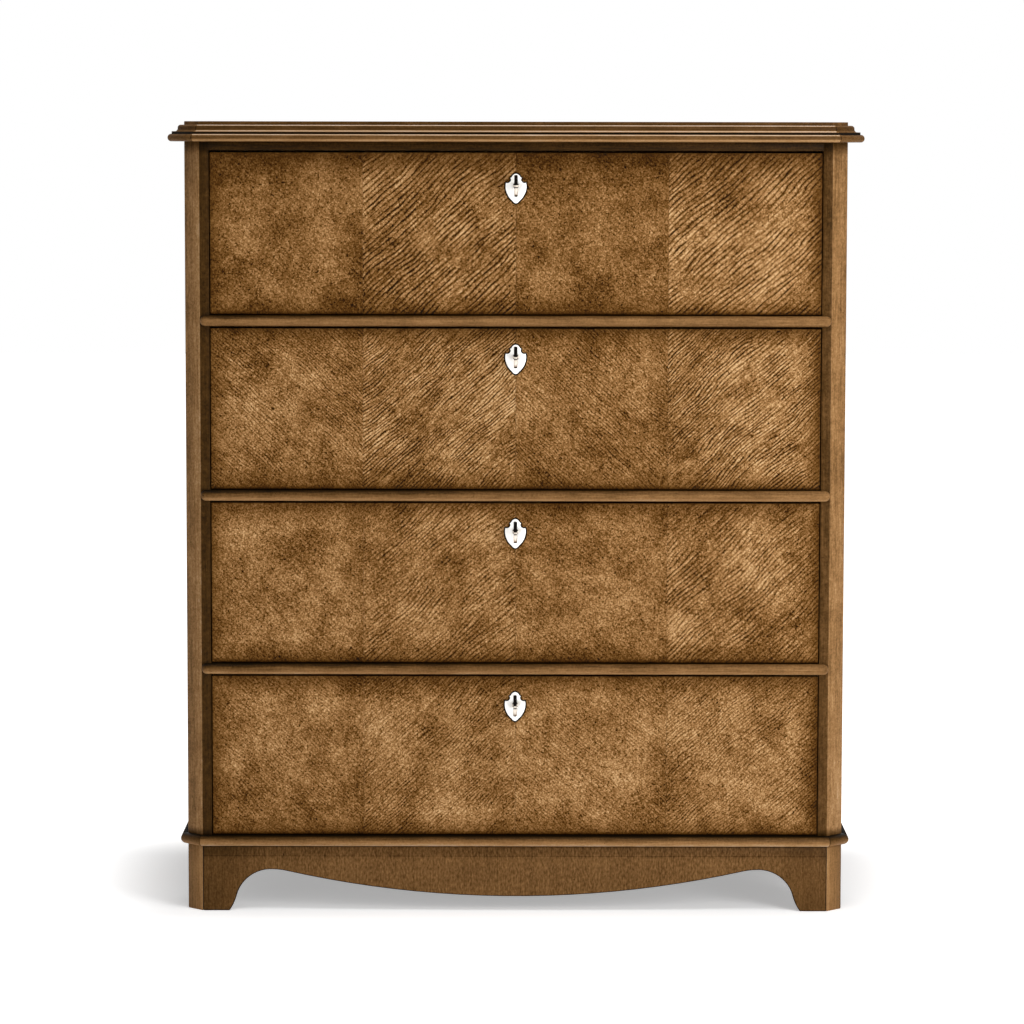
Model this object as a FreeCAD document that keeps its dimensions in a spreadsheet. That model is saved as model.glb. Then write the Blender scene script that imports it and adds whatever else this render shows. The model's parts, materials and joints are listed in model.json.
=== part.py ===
import FreeCAD, Part
import os
from types import SimpleNamespace

import Sketcher

# Chest of four drawers with canted corners, a bracket plinth, half-round beads
# between the drawers, a moulded top and a key standing in every drawer lock.
# Millimetres. The front faces -Y, +Z is up, and the origin lies on the floor
# under the middle of the whole chest, keys included.

SIZES = {
    # Carcass
    "chest_width": 957,
    "carcass_depth": 470,
    "corner_cant": 22.8,
    "post_face": 13.7,
    "post_depth": 50,
    "side_thickness": 20,
    "back_thickness": 8,
    "back_rabbet": 10,
    "bottom_thickness": 16,
    "rail_thickness": 16,
    "rail_depth": 60,
    "frieze_height": 12.4,
    "rail_bead_radius": 8,
    "runner_width": 35,
    "guide_height": 15,
    "stop_length": 30,
    "stop_width": 12,
    "stop_height": 6,
    "stop_inset": 130,
    # Plinth
    "plinth_height": 96,
    "plinth_board": 20,
    "plinth_back_clearance": 45,
    "foot_width": 38.7,
    "foot_taper": 10.4,
    "ankle_height": 22,
    "arch_run": 54.6,
    "arch_height": 60.9,
    "shoulder_run": 17,
    "shoulder_height": 59,
    "belly_height": 21.6,
    "side_belly_height": 49,
    "base_bead_height": 16,
    "base_bead_projection": 10.4,
    # Top
    "top_bead_height": 11,
    "top_bead_projection": 23.2,
    "fillet_height": 3.5,
    "fillet_projection": 17.4,
    "ogee_height": 9.5,
    "ogee_foot": 12.9,
    "ogee_head": 5,
    "top_edge": 5,
    # Drawers
    "drawer_height": 232.4,
    "drawer_back_clearance": 29.5,
    "drawer_gap_below": 1.5,
    "drawer_gap_above": 3,
    "drawer_gap_side": 1.5,
    "drawer_recess": 2.5,
    "front_thickness": 22,
    "drawer_side_drop": 17.1,
    "drawer_side_thickness": 12,
    "drawer_back_thickness": 12,
    "drawer_back_drop": 10,
    "drawer_bottom_thickness": 5,
    "drawer_bottom_rise": 10,
    "groove_depth": 6,
    "slide_clearance": 0.3,
    "tail_length": 14,
    "tail_flare": 2.5,
    "tail_margin": 8,
    # Locks
    "key_axis_drop": 40.1,
    "top_key_axis_drop": 47.1,
    "lock_width": 60,
    "lock_depth": 14,
    "lock_wall": 1.5,
    "lock_tail": 16,
    "selvedge_width": 76,
    "selvedge_thickness": 2.5,
    "bolt_width": 30,
    "bolt_thickness": 3,
    "bolt_tail": 8,
    "bolt_sink": 0.5,
    "bolt_throw": 9,
    "bolt_clearance": 0.4,
    # Keys
    "key_projection": 33,
    "bow_width": 22,
    "bow_height": 31,
    "bow_thickness": 5,
    "bow_band": 5,
    "bow_round": 1.4,
    "shank_radius": 3,
    "collar_radius": 4.25,
    "collar_length": 3,
    "bit_length": 5,
    "bit_reach": 11,
    "bit_thickness": 2.6,
    "key_clearance": 0.4,
    # Escutcheons
    "shield_width": 30,
    "shield_height": 42.6,
    "shield_rise": 17.1,
    "shield_thickness": 1.6,
    # How far every cutting tool reaches past what it cuts
    "overrun": 4,
}

DRAWERS = 4
TAILS = 4

# Tangent of 22.5 degrees: a mitre between two runs that meet at 45 degrees
MITRE_SHARE = 0.41421
# How far along and up a quarter round its middle point lies
QUARTER_SHARES = (0.7071, 0.2929)
# How high the stretch of one tail is, as a share of the tails' pitch
TAIL_SHARE = 0.62
# Middle points of the foot's curves, along and up from one end to the other
FOOT_SHARES = (0.56, 0.43)
ARCH_SHARES = (0.27, 0.64)
SHOULDER_SHARES = (0.5, 0.29)
# Right half of the shield: places across its half width and down its height
SHIELD_SHARES = {
    "hump_curve": (0.28, 0.045),
    "hump": (0.41, 0.117),
    "ear": (0.54, 0.14),
    "neck": (0.475, 0.197),
    "notch_curve": (0.613, 0.287),
    "shoulder": (0.96, 0.303),
    "side_curve": (1, 0.435),
    "flank": (0.933, 0.59),
    "lower_curve": (0.727, 0.757),
    "waist": (0.333, 0.914),
    "tip_curve": (0.193, 0.97),
}


class Size:
    """A length, known both as a number and as the formula that gives it."""

    def __init__(self, value, formula):
        self.value = value
        self.formula = formula

    def __add__(self, other):
        return Size(self.value + other.value, f"({self.formula} + {other.formula})")

    def __sub__(self, other):
        return Size(self.value - other.value, f"({self.formula} - {other.formula})")

    def __mul__(self, factor):
        return Size(self.value * factor, f"({self.formula} * {factor})")

    def __truediv__(self, factor):
        return Size(self.value / factor, f"({self.formula} / {factor})")

    def __neg__(self):
        return Size(-self.value, f"(0 - {self.formula})")


ZERO = Size(0, "0")
doc = FreeCAD.newDocument("chest_of_drawers")
subparts = []


def size_sheet():
    """The spreadsheet of driving sizes, and each of its cells as a Size."""
    sheet = doc.addObject("Spreadsheet::Sheet", "Sizes")
    for row, (name, value) in enumerate(SIZES.items(), start=1):
        sheet.set(f"A{row}", name)
        sheet.set(f"B{row}", str(value))
        sheet.setAlias(f"B{row}", name)
    doc.recompute()
    return SimpleNamespace(**{name: Size(sheet.get(name), f"Sizes.{name}") for name in SIZES})


def shared_places():
    """Places that several sub-parts take from the same sizes."""
    place = SimpleNamespace()
    place.front = (s.key_projection - s.carcass_depth) / 2
    place.back = place.front + s.carcass_depth
    place.half_width = s.chest_width / 2
    place.arris = place.half_width - s.corner_cant
    place.opening = place.arris - s.post_face
    place.panel_inside = place.half_width - s.side_thickness
    place.back_inside = place.back - s.back_thickness
    place.first_floor = s.plinth_height + s.bottom_thickness
    place.bay_height = s.drawer_gap_below + s.drawer_height + s.drawer_gap_above
    place.pitch = place.bay_height + s.rail_thickness
    place.frieze_under = place.first_floor + place.pitch * (DRAWERS - 1) + place.bay_height
    place.carcass_top = place.frieze_under + s.frieze_height
    place.front_half = place.opening - s.drawer_gap_side
    place.drawer_side_height = s.drawer_height - s.drawer_side_drop
    place.drawer_face = place.front + s.drawer_recess
    place.front_inside = place.drawer_face + s.front_thickness
    place.drawer_rear = place.back_inside - s.drawer_back_clearance
    return place


def bay_floor(level):
    """Top of the rail or board that a drawer runs on, counted from the bottom."""
    return p.first_floor + p.pitch * level


# General shapes

def keep(feature, label):
    """Name a finished sub-part and list it for its own file."""
    feature.Label = label
    subparts.append(feature)
    return feature


def put(feature, x, y, z):
    """Tie a feature's place to formulas."""
    for axis, place in (("x", x), ("y", y), ("z", z)):
        feature.setExpression(f"Placement.Base.{axis}", place.formula)


def box(name, x_span, y_span, z_span):
    """A board between a low and a high place on each axis."""
    board = doc.addObject("Part::Box", name)
    for side, (low, high) in (("Length", x_span), ("Width", y_span), ("Height", z_span)):
        board.setExpression(side, (high - low).formula)
    put(board, x_span[0], y_span[0], z_span[0])
    return board


def mirrored(sign, near, far):
    """A span on the right of the middle, or its mirror image on the left."""
    return (near, far) if sign > 0 else (-far, -near)


def rod(name, radius, x, y_span, z):
    """A cylinder along Y."""
    cylinder = doc.addObject("Part::Cylinder", name)
    cylinder.Placement.Rotation = FreeCAD.Rotation(FreeCAD.Vector(1, 0, 0), -90)
    cylinder.setExpression("Radius", radius.formula)
    cylinder.setExpression("Height", (y_span[1] - y_span[0]).formula)
    put(cylinder, x, y_span[0], z)
    return cylinder


def cut(name, base, tools):
    """The base with every tool taken away."""
    result = doc.addObject("Part::Cut", name)
    result.Base = base
    result.Tool = tools[0] if len(tools) == 1 else union(name + "_tools", tools)
    return result


def union(name, pieces):
    """Several shapes as one solid."""
    result = doc.addObject("Part::MultiFuse", name)
    result.Shapes = pieces
    result.Refine = True
    return result


def group(name, pieces):
    """Identical or mirrored loose pieces that share one node."""
    result = doc.addObject("Part::Compound", name)
    result.Links = pieces
    return result


def flat_point(point):
    """A sketch point as a vector."""
    return FreeCAD.Vector(point[0].value, point[1].value, 0)


def is_arc(step):
    """A step of an outline is a point, or a middle point and an end point of an arc."""
    return isinstance(step[0], tuple)


def end_point(step):
    """The point where a step of an outline ends."""
    return step[1] if is_arc(step) else step


def tie_point(sketch, geometry, corner, point):
    """Hold one point of a sketch at the place that two formulas give."""
    for direction, place in (("DistanceX", point[0]), ("DistanceY", point[1])):
        rule = sketch.addConstraint(Sketcher.Constraint(direction, geometry, corner, place.value))
        sketch.setExpression(f"Constraints[{rule}]", place.formula)


def draw(sketch, outline):
    """Draw a closed outline of lines and three-point arcs, each point tied to the sizes."""
    first = None
    previous = None
    start = end_point(outline[0])
    for step in outline[1:] + outline[:1]:
        end = end_point(step)
        if is_arc(step):
            through = step[0]
            turn = (flat_point(through) - flat_point(start)).cross(flat_point(end) - flat_point(through)).z
            ends = (start, end) if turn > 0 else (end, start)
            arc = Part.Arc(flat_point(ends[0]), flat_point(through), flat_point(ends[1]))
            edge = sketch.addGeometry(arc)
            enter, leave = (1, 2) if turn > 0 else (2, 1)
            middle = sketch.addGeometry(Part.Point(flat_point(through)), True)
            tie_point(sketch, middle, 1, through)
            sketch.addConstraint(Sketcher.Constraint("PointOnObject", middle, 1, edge))
        else:
            edge = sketch.addGeometry(Part.LineSegment(flat_point(start), flat_point(end)))
            enter, leave = 1, 2
        if previous is None:
            first = (edge, enter)
        else:
            sketch.addConstraint(Sketcher.Constraint("Coincident", *previous, edge, enter))
        tie_point(sketch, edge, enter, start)
        previous = (edge, leave)
        start = end
    sketch.addConstraint(Sketcher.Constraint("Coincident", *previous, *first))


def sketch_on(body, plane, outlines, name):
    """A sketch on one of the body's own origin planes."""
    sketch = body.newObject("Sketcher::SketchObject", name)
    support = [item for item in body.Origin.OriginFeatures if item.Role == plane][0]
    sketch.AttachmentSupport = [(support, "")]
    sketch.MapMode = "FlatFace"
    for outline in outlines:
        draw(sketch, outline)
    sketch.Visibility = False
    return sketch


def prism(name, plane, outlines, length, at, angle=0):
    """A body of outlines on a plane, padded by a length towards the positive axis."""
    body = doc.addObject("PartDesign::Body", name)
    sketch = sketch_on(body, plane, outlines, name + "_sketch")
    pad = body.newObject("PartDesign::Pad", name + "_pad")
    pad.Profile = sketch
    pad.Reversed = plane == "XZ_Plane"
    pad.setExpression("Length", length.formula)
    body.Placement.Rotation = FreeCAD.Rotation(FreeCAD.Vector(0, 0, 1), angle)
    put(body, *at)
    return body


def between(start, end, shares):
    """A point that lies given shares of the way across and up from one point to another."""
    return (start[0] + (end[0] - start[0]) * shares[0], start[1] + (end[1] - start[1]) * shares[1])


def mirror_outline(right_side):
    """An outline from its right side alone, given from the top middle to the bottom middle."""
    steps = list(right_side)
    for index in range(len(right_side) - 1, 0, -1):
        step = right_side[index]
        end = end_point(right_side[index - 1])
        end = (-end[0], end[1])
        steps.append(((-step[0][0], step[0][1]), end) if is_arc(step) else end)
    steps[0] = steps.pop()
    return steps


# Mouldings that run round the canted corners

def moulding_run(name, profile, depth, length, at, angle, mitres):
    """One straight length of moulding, its two ends cut to their mitre shares.

    The run lies along the body's own X, its back at Y zero and its face towards -Y.
    """
    reach = depth + s.overrun
    longest = length / 2 + reach * MITRE_SHARE
    body = prism(name, "YZ_Plane", [profile], longest * 2, at, angle)
    body.Tip.SideType = "Symmetric"
    waste = []
    for sign, share in zip((-1, 1), mitres):
        back_corner = (length / 2 - s.overrun * share) * sign
        face_corner = (length / 2 + reach * share) * sign
        outside = (longest + s.overrun) * sign
        waste.append([
            (back_corner, s.overrun),
            (face_corner, -reach),
            (outside, -reach),
            (outside, s.overrun),
        ])
    sketch = sketch_on(body, "XY_Plane", waste, name + "_waste")
    pocket = body.newObject("PartDesign::Pocket", name + "_mitres")
    pocket.Profile = sketch
    pocket.Type = "ThroughAll"
    pocket.SideType = "Symmetric"
    return body


def moulding_round(name, profile, depth, base):
    """Front, corner and side runs of a moulding that stands on a height above the floor."""
    middle = (p.arris + p.half_width) / 2
    corner_y = p.front + s.corner_cant / 2
    side_start = p.front + s.corner_cant
    corner_length = s.corner_cant * 2 ** 0.5
    front = moulding_run(name + "_front", profile, depth, p.arris * 2, (ZERO, p.front, base), 0,
                         (MITRE_SHARE, MITRE_SHARE))
    corners = []
    sides = []
    for sign in (-1, 1):
        side = "right" if sign > 0 else "left"
        corners.append(moulding_run(f"{name}_corner_{side}", profile, depth, corner_length,
                                    (middle * sign, corner_y, base), 45 * sign,
                                    (MITRE_SHARE, MITRE_SHARE)))
        mitres = (MITRE_SHARE, 0) if sign > 0 else (0, MITRE_SHARE)
        sides.append(moulding_run(f"{name}_side_{side}", profile, depth, p.back - side_start,
                                  (p.half_width * sign, (side_start + p.back) / 2, base), 90 * sign, mitres))
    keep(front, name + "_front")
    keep(group(name + "_corner_pair", corners), name + "_corners")
    keep(group(name + "_side_pair", sides), name + "_sides")


def bead_profile(projection, height):
    """A flat-backed strip with a half-round nose."""
    shoulder = -(projection - height / 2)
    nose = ((-projection, height / 2), (shoulder, height))
    return [(ZERO, ZERO), (shoulder, ZERO), nose, (ZERO, height)]


def top_profile():
    """Half-round bead, narrow fillet and ogee of the top, from the bottom upwards."""
    bead_top = s.top_bead_height
    fillet_top = bead_top + s.fillet_height
    top = fillet_top + s.ogee_height
    shoulder = -(s.top_bead_projection - bead_top / 2)
    foot = (-s.ogee_foot, fillet_top)
    head = (-s.ogee_head, top)
    turn = between(foot, head, (0.5, 0.5))
    return [
        (ZERO, ZERO),
        (shoulder, ZERO),
        ((-s.top_bead_projection, bead_top / 2), (shoulder, bead_top)),
        (-s.fillet_projection, bead_top),
        (-s.fillet_projection, fillet_top),
        foot,
        (between(foot, turn, QUARTER_SHARES), turn),
        (between(head, turn, QUARTER_SHARES), head),
        (ZERO, top),
    ]


def top_moulding():
    moulding_round("top_moulding", top_profile(), s.top_bead_projection, p.carcass_top)


def base_moulding():
    profile = bead_profile(s.base_bead_projection, s.base_bead_height)
    moulding_round("base_moulding", profile, s.base_bead_projection, s.plinth_height)


# Carcass

def top_board():
    """Board over the whole carcass, its edge standing above the moulding round it."""
    outline = [
        (-p.arris, ZERO),
        (p.arris, ZERO),
        (p.half_width, s.corner_cant),
        (p.half_width, s.carcass_depth),
        (-p.half_width, s.carcass_depth),
        (-p.half_width, s.corner_cant),
    ]
    thickness = s.top_bead_height + s.fillet_height + s.ogee_height + s.top_edge
    keep(prism("board_top", "XY_Plane", [outline], thickness, (ZERO, p.front, p.carcass_top)), "top_board")


def side_panels():
    """Side panels behind the corner posts, rabbeted for the back."""
    for sign, side in ((-1, "left"), (1, "right")):
        panel = box(f"panel_{side}", mirrored(sign, p.panel_inside, p.half_width),
                    (p.front + s.post_depth, p.back), (s.plinth_height, p.carcass_top))
        rabbet = box(f"panel_{side}_rabbet",
                     mirrored(sign, p.panel_inside - s.overrun, p.panel_inside + s.back_rabbet),
                     (p.back_inside, p.back + s.overrun),
                     (s.plinth_height - s.overrun, p.carcass_top + s.overrun))
        keep(cut(f"panel_{side}_cut", panel, [rabbet]), f"side_panel_{side}")


def corner_posts():
    """Front posts with their outer corner canted."""
    for sign, side in ((-1, "left"), (1, "right")):
        outline = [
            (p.opening * sign, ZERO),
            (p.arris * sign, ZERO),
            (p.half_width * sign, s.corner_cant),
            (p.half_width * sign, s.post_depth),
            (p.opening * sign, s.post_depth),
        ]
        post = prism(f"post_{side}", "XY_Plane", [outline], p.carcass_top - s.plinth_height,
                     (ZERO, p.front, s.plinth_height))
        keep(post, f"corner_post_{side}")


def bottom_board():
    """Board over the plinth, notched round the posts."""
    depth = s.carcass_depth - s.back_thickness
    outline = [
        (-p.opening, ZERO),
        (p.opening, ZERO),
        (p.opening, s.post_depth),
        (p.panel_inside, s.post_depth),
        (p.panel_inside, depth),
        (-p.panel_inside, depth),
        (-p.panel_inside, s.post_depth),
        (-p.opening, s.post_depth),
    ]
    board = prism("board_bottom", "XY_Plane", [outline], s.bottom_thickness, (ZERO, p.front, s.plinth_height))
    keep(board, "bottom_board")


def back_panel():
    half = p.panel_inside + s.back_rabbet
    panel = box("panel_back", (-half, half), (p.back_inside, p.back), (s.plinth_height, p.carcass_top))
    keep(panel, "back_panel")


def bolt_span():
    """Where a lock bolt's plate lies between the front and the back of its case."""
    tip = case_inside_front() + s.key_clearance + s.bit_length
    low = tip + s.bolt_clearance * 2
    return (low, low + s.bolt_thickness)


def mortise(name, rail_under):
    """Slot in the underside of a rail for the bolt of the lock below it."""
    half = s.bolt_width / 2 + s.bolt_clearance
    low, high = bolt_span()
    reach = s.bolt_throw - s.bolt_sink - s.drawer_gap_above
    return box(name, (-half, half), (low - s.bolt_clearance, high + s.bolt_clearance),
               (rail_under - s.overrun, rail_under + reach + s.bolt_clearance))


def rails():
    """The frieze rail, and a rail under each drawer but the lowest."""
    span_x = (-p.opening, p.opening)
    span_y = (p.front, p.front + s.rail_depth)
    frieze = box("frieze", span_x, span_y, (p.frieze_under, p.carcass_top))
    keep(cut("frieze_cut", frieze, [mortise("frieze_mortise", p.frieze_under)]), "frieze_rail")
    for level in range(1, DRAWERS):
        top = bay_floor(level)
        under = top - s.rail_thickness
        number = DRAWERS - level
        rail = box(f"rail_{number}", span_x, span_y, (under, top))
        keep(cut(f"rail_{number}_cut", rail, [mortise(f"rail_{number}_mortise", under)]),
             f"drawer_rail_{number}")


def rail_beads():
    """Half-round beads with ball ends, planted on the rails and over the posts' faces."""
    straight = p.arris - s.rail_bead_radius
    beads = []
    for level in range(1, DRAWERS):
        middle = bay_floor(level) - s.rail_thickness / 2
        strip = doc.addObject("Part::Cylinder", f"bead_{level}_strip")
        strip.Placement.Rotation = FreeCAD.Rotation(FreeCAD.Vector(1, 0, 1), 180)
        strip.Angle = 180
        strip.setExpression("Radius", s.rail_bead_radius.formula)
        strip.setExpression("Height", (straight * 2).formula)
        put(strip, -straight, p.front, middle)
        pieces = [strip]
        for side, turn, x in (("right", -90, straight), ("left", 180, -straight)):
            end = doc.addObject("Part::Sphere", f"bead_{level}_end_{side}")
            end.Placement.Rotation = FreeCAD.Rotation(FreeCAD.Vector(0, 0, 1), turn)
            end.Angle3 = 90
            end.setExpression("Radius", s.rail_bead_radius.formula)
            put(end, x, p.front, middle)
            pieces.append(end)
        beads.append(union(f"bead_{level}", pieces))
    keep(group("bead_group", beads), "rail_beads")


def drawer_runners():
    """Runners with a guide along each side of every bay, and guides alone on the bottom board."""
    inner = p.panel_inside - s.runner_width
    length = p.back_inside - p.front - s.rail_depth
    start = p.front + s.rail_depth
    runners = []
    for sign, side in ((-1, "left"), (1, "right")):
        lowest = bay_floor(0)
        runners.append(box(f"guide_{side}", mirrored(sign, p.opening, p.panel_inside),
                           (start, p.back_inside), (lowest, lowest + s.guide_height)))
        outline = [
            (inner * sign, ZERO),
            (p.panel_inside * sign, ZERO),
            (p.panel_inside * sign, s.rail_thickness + s.guide_height),
            (p.opening * sign, s.rail_thickness + s.guide_height),
            (p.opening * sign, s.rail_thickness),
            (inner * sign, s.rail_thickness),
        ]
        for level in range(1, DRAWERS):
            under = bay_floor(level) - s.rail_thickness
            runners.append(prism(f"runner_{side}_{level}", "XZ_Plane", [outline], length,
                                 (ZERO, start, under)))
    keep(group("runner_group", runners), "drawer_runners")


def drawer_stops():
    """Small blocks behind each drawer front that set how far in it goes."""
    low = p.front_inside + s.slide_clearance
    middle = p.opening - s.stop_inset
    stops = []
    for level in range(DRAWERS):
        floor = bay_floor(level)
        for sign, side in ((-1, "left"), (1, "right")):
            span = mirrored(sign, middle - s.stop_length / 2, middle + s.stop_length / 2)
            stops.append(box(f"stop_{side}_{level}", span, (low, low + s.stop_width),
                             (floor, floor + s.stop_height)))
    keep(group("stop_group", stops), "drawer_stops")


# Plinth

def apron_outline(half, belly):
    """A bracket foot at each end, an arch beside it and a shallow curve down to the middle."""
    foot = (half - s.foot_width, ZERO)
    ankle = (foot[0] - s.foot_taper, s.ankle_height)
    apex = (ankle[0] - s.arch_run, s.arch_height)
    shoulder = (apex[0] - s.shoulder_run, s.shoulder_height)
    corners = [foot, ankle, apex, shoulder]
    curves = [FOOT_SHARES, ARCH_SHARES, SHOULDER_SHARES]
    rise = [foot]
    for start, end, shares in zip(corners, corners[1:], curves):
        rise.append((between(start, end, shares), end))
    fall = []
    for start, end, shares in reversed(list(zip(corners, corners[1:], curves))):
        through = between(start, end, shares)
        fall.append(((-through[0], through[1]), (-start[0], start[1])))
    across = [((ZERO, belly), (-shoulder[0], shoulder[1]))]
    outer = [(-half, ZERO), (-half, s.plinth_height), (half, s.plinth_height), (half, ZERO)]
    return rise + across + fall + outer


def plinth_front():
    board = prism("plinth_board_front", "XZ_Plane", [apron_outline(p.arris, s.belly_height)],
                  s.plinth_board, (ZERO, p.front, ZERO))
    keep(board, "plinth_front")


def plinth_sides():
    start = p.front + s.corner_cant
    half = (p.back - start) / 2
    outline = apron_outline(half, s.side_belly_height)
    boards = []
    for sign, side in ((-1, "left"), (1, "right")):
        low = mirrored(sign, p.half_width - s.plinth_board, p.half_width)[0]
        boards.append(prism(f"plinth_board_{side}", "YZ_Plane", [outline], s.plinth_board,
                            (low, start + half, ZERO)))
    keep(group("plinth_side_pair", boards), "plinth_sides")


def plinth_corners():
    """Canted blocks that close the plinth's front corners."""
    blocks = []
    for sign, side in ((-1, "left"), (1, "right")):
        outline = [
            (p.arris * sign, ZERO),
            (p.half_width * sign, s.corner_cant),
            ((p.half_width - s.plinth_board) * sign, s.corner_cant),
            (p.arris * sign, s.plinth_board),
        ]
        blocks.append(prism(f"plinth_block_{side}", "XY_Plane", [outline], s.plinth_height,
                            (ZERO, p.front, ZERO)))
    keep(group("plinth_block_pair", blocks), "plinth_corners")


def plinth_back():
    half = p.half_width - s.plinth_board
    board = box("plinth_board_back", (-half, half), (p.back - s.plinth_board, p.back),
                (s.plinth_back_clearance, s.plinth_height))
    keep(board, "plinth_back")


# Drawers

def case_front():
    """The lock case's outer front wall."""
    return p.front_inside - s.lock_depth


def case_inside_front():
    return case_front() + s.lock_wall


def drawer_side_blank(name, low_x, edge):
    """A drawer side with dovetails at both ends, before it is grooved."""
    tail_pitch = (p.drawer_side_height - s.tail_margin * 2) / TAILS
    shoulder_front = p.front_inside
    shoulder_rear = p.drawer_rear - s.drawer_back_thickness
    board = [
        (shoulder_front, ZERO),
        (shoulder_rear, ZERO),
        (shoulder_rear, p.drawer_side_height),
        (shoulder_front, p.drawer_side_height),
    ]
    body = prism(name, "YZ_Plane", [board], s.drawer_side_thickness, (low_x, ZERO, edge))
    root_low = s.tail_margin + tail_pitch * ((1 - TAIL_SHARE) / 2)
    root_high = root_low + tail_pitch * TAIL_SHARE
    ends = (
        ("front", shoulder_front, shoulder_front - s.tail_length),
        ("rear", shoulder_rear, p.drawer_rear),
    )
    for end, root, tip in ends:
        tail = [
            (root, root_low),
            (tip, root_low - s.tail_flare),
            (tip, root_high + s.tail_flare),
            (root, root_high),
        ]
        sketch = sketch_on(body, "YZ_Plane", [tail], f"{name}_{end}_tail_sketch")
        pad = body.newObject("PartDesign::Pad", f"{name}_{end}_tail")
        pad.Profile = sketch
        pad.setExpression("Length", s.drawer_side_thickness.formula)
        pattern = body.newObject("PartDesign::LinearPattern", f"{name}_{end}_tails")
        pattern.Originals = [pad]
        pattern.Direction = (sketch, ["V_Axis"])
        pattern.Occurrences = TAILS
        pattern.setExpression("Length", (tail_pitch * (TAILS - 1)).formula)
        body.Tip = pattern
    return body


def keyhole(name, axis):
    """Round hole with a slot below it, from before the shield into the lock case."""
    front = p.drawer_face - s.shield_thickness - s.overrun
    back = case_inside_front() + s.key_clearance / 2
    radius = s.shank_radius + s.key_clearance
    half = s.bit_thickness / 2 + s.key_clearance
    hole = rod(name + "_round", radius, ZERO, (front, back), axis)
    slot = box(name + "_slot", (-half, half), (front, back), (axis - s.bit_reach - s.key_clearance, axis))
    return union(name, [hole, slot])


def shield_outline():
    """The escutcheon: a humped top, ears over two notches, and sides that meet in a point."""
    half = s.shield_width / 2
    at = {name: (half * share[0], -s.shield_height * share[1]) for name, share in SHIELD_SHARES.items()}
    right_side = [
        (ZERO, ZERO),
        (at["hump_curve"], at["hump"]),
        at["ear"],
        at["neck"],
        (at["notch_curve"], at["shoulder"]),
        (at["side_curve"], at["flank"]),
        (at["lower_curve"], at["waist"]),
        (at["tip_curve"], (ZERO, -s.shield_height)),
    ]
    return mirror_outline(right_side)


def escutcheon(number, axis, hole):
    plate_face = p.drawer_face - s.shield_thickness
    shield = prism(f"shield_{number}", "XZ_Plane", [shield_outline()], s.shield_thickness,
                   (ZERO, plate_face, axis + s.shield_rise))
    keep(cut(f"shield_{number}_cut", shield, [hole]), f"drawer_{number}_escutcheon")


def lock_envelope(number, axis, top):
    """Outside of the lock case and of the plate that closes it at the drawer's top edge."""
    half = s.lock_width / 2
    plate_half = s.selvedge_width / 2
    case = box(f"case_{number}", (-half, half), (case_front(), p.front_inside), (axis - s.lock_tail, top))
    selvedge = box(f"selvedge_{number}", (-plate_half, plate_half), (case_front(), p.front_inside),
                   (top - s.selvedge_thickness, top))
    return union(f"lock_envelope_{number}", [case, selvedge])


def lock(number, axis, top, envelope, hole):
    """Hollow lock case, open at the keyhole and at the bolt's slot."""
    half = s.lock_width / 2 - s.lock_wall
    inside = box(f"case_inside_{number}", (-half, half), (case_inside_front(), p.front_inside - s.lock_wall),
                 (axis - s.lock_tail + s.lock_wall, top - s.selvedge_thickness))
    low, high = bolt_span()
    bolt_half = s.bolt_width / 2 + s.bolt_clearance
    slot = box(f"bolt_slot_{number}", (-bolt_half, bolt_half),
               (low - s.bolt_clearance, high + s.bolt_clearance),
               (top - s.selvedge_thickness - s.overrun, top + s.overrun))
    keep(cut(f"lock_cut_{number}", envelope, [inside, slot, hole]), f"drawer_{number}_lock")


def bolt(number, axis, top):
    """Flat bolt that rises out of the lock into the rail above."""
    half = s.bolt_width / 2
    plate = box(f"bolt_plate_{number}", (-half, half), bolt_span(), (axis - s.bolt_tail, top - s.bolt_sink))
    keep(plate, f"drawer_{number}_bolt")


def long_oval(half_width, half_height, centre):
    """Two half rounds joined by straight sides."""
    straight = half_height - half_width
    left = centre - half_width
    right = centre + half_width
    return [
        (right, straight),
        ((centre, half_height), (left, straight)),
        (left, -straight),
        ((centre, -half_height), (right, -straight)),
    ]


def key(number, axis):
    """Key with an oval bow seen edge-on from the front, a collar, a shank and a bit."""
    bow_front = p.front - s.key_projection
    centre = bow_front + s.bow_width / 2
    bow_back = bow_front + s.bow_width
    half_width = s.bow_width / 2
    half_height = s.bow_height / 2
    rings = [
        long_oval(half_width, half_height, centre),
        long_oval(half_width - s.bow_band, half_height - s.bow_band, centre),
    ]
    bow = prism(f"bow_{number}", "YZ_Plane", rings, s.bow_thickness, (-s.bow_thickness / 2, ZERO, axis))
    doc.recompute()
    pad = bow.Tip
    edges = []
    for index, edge in enumerate(pad.Shape.Edges, start=1):
        if edge.BoundBox.XLength < edge.Length / 2:
            edges.append(f"Edge{index}")
    rounded = bow.newObject("PartDesign::Fillet", f"bow_{number}_rounded")
    rounded.Base = (pad, edges)
    rounded.setExpression("Radius", s.bow_round.formula)
    tip = case_inside_front() + s.key_clearance + s.bit_length
    shank = rod(f"shank_{number}", s.shank_radius, ZERO, (bow_back - s.bow_band / 2, tip), axis)
    collar_start = bow_back - s.bow_round
    collar_end = collar_start + s.collar_length
    collar = rod(f"collar_{number}", s.collar_radius, ZERO, (collar_start, collar_end), axis)
    half_bit = s.bit_thickness / 2
    bit = box(f"bit_{number}", (-half_bit, half_bit), (tip - s.bit_length, tip), (axis - s.bit_reach, axis))
    keep(union(f"key_{number}_whole", [bow, shank, collar, bit]), f"drawer_{number}_key")


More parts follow.
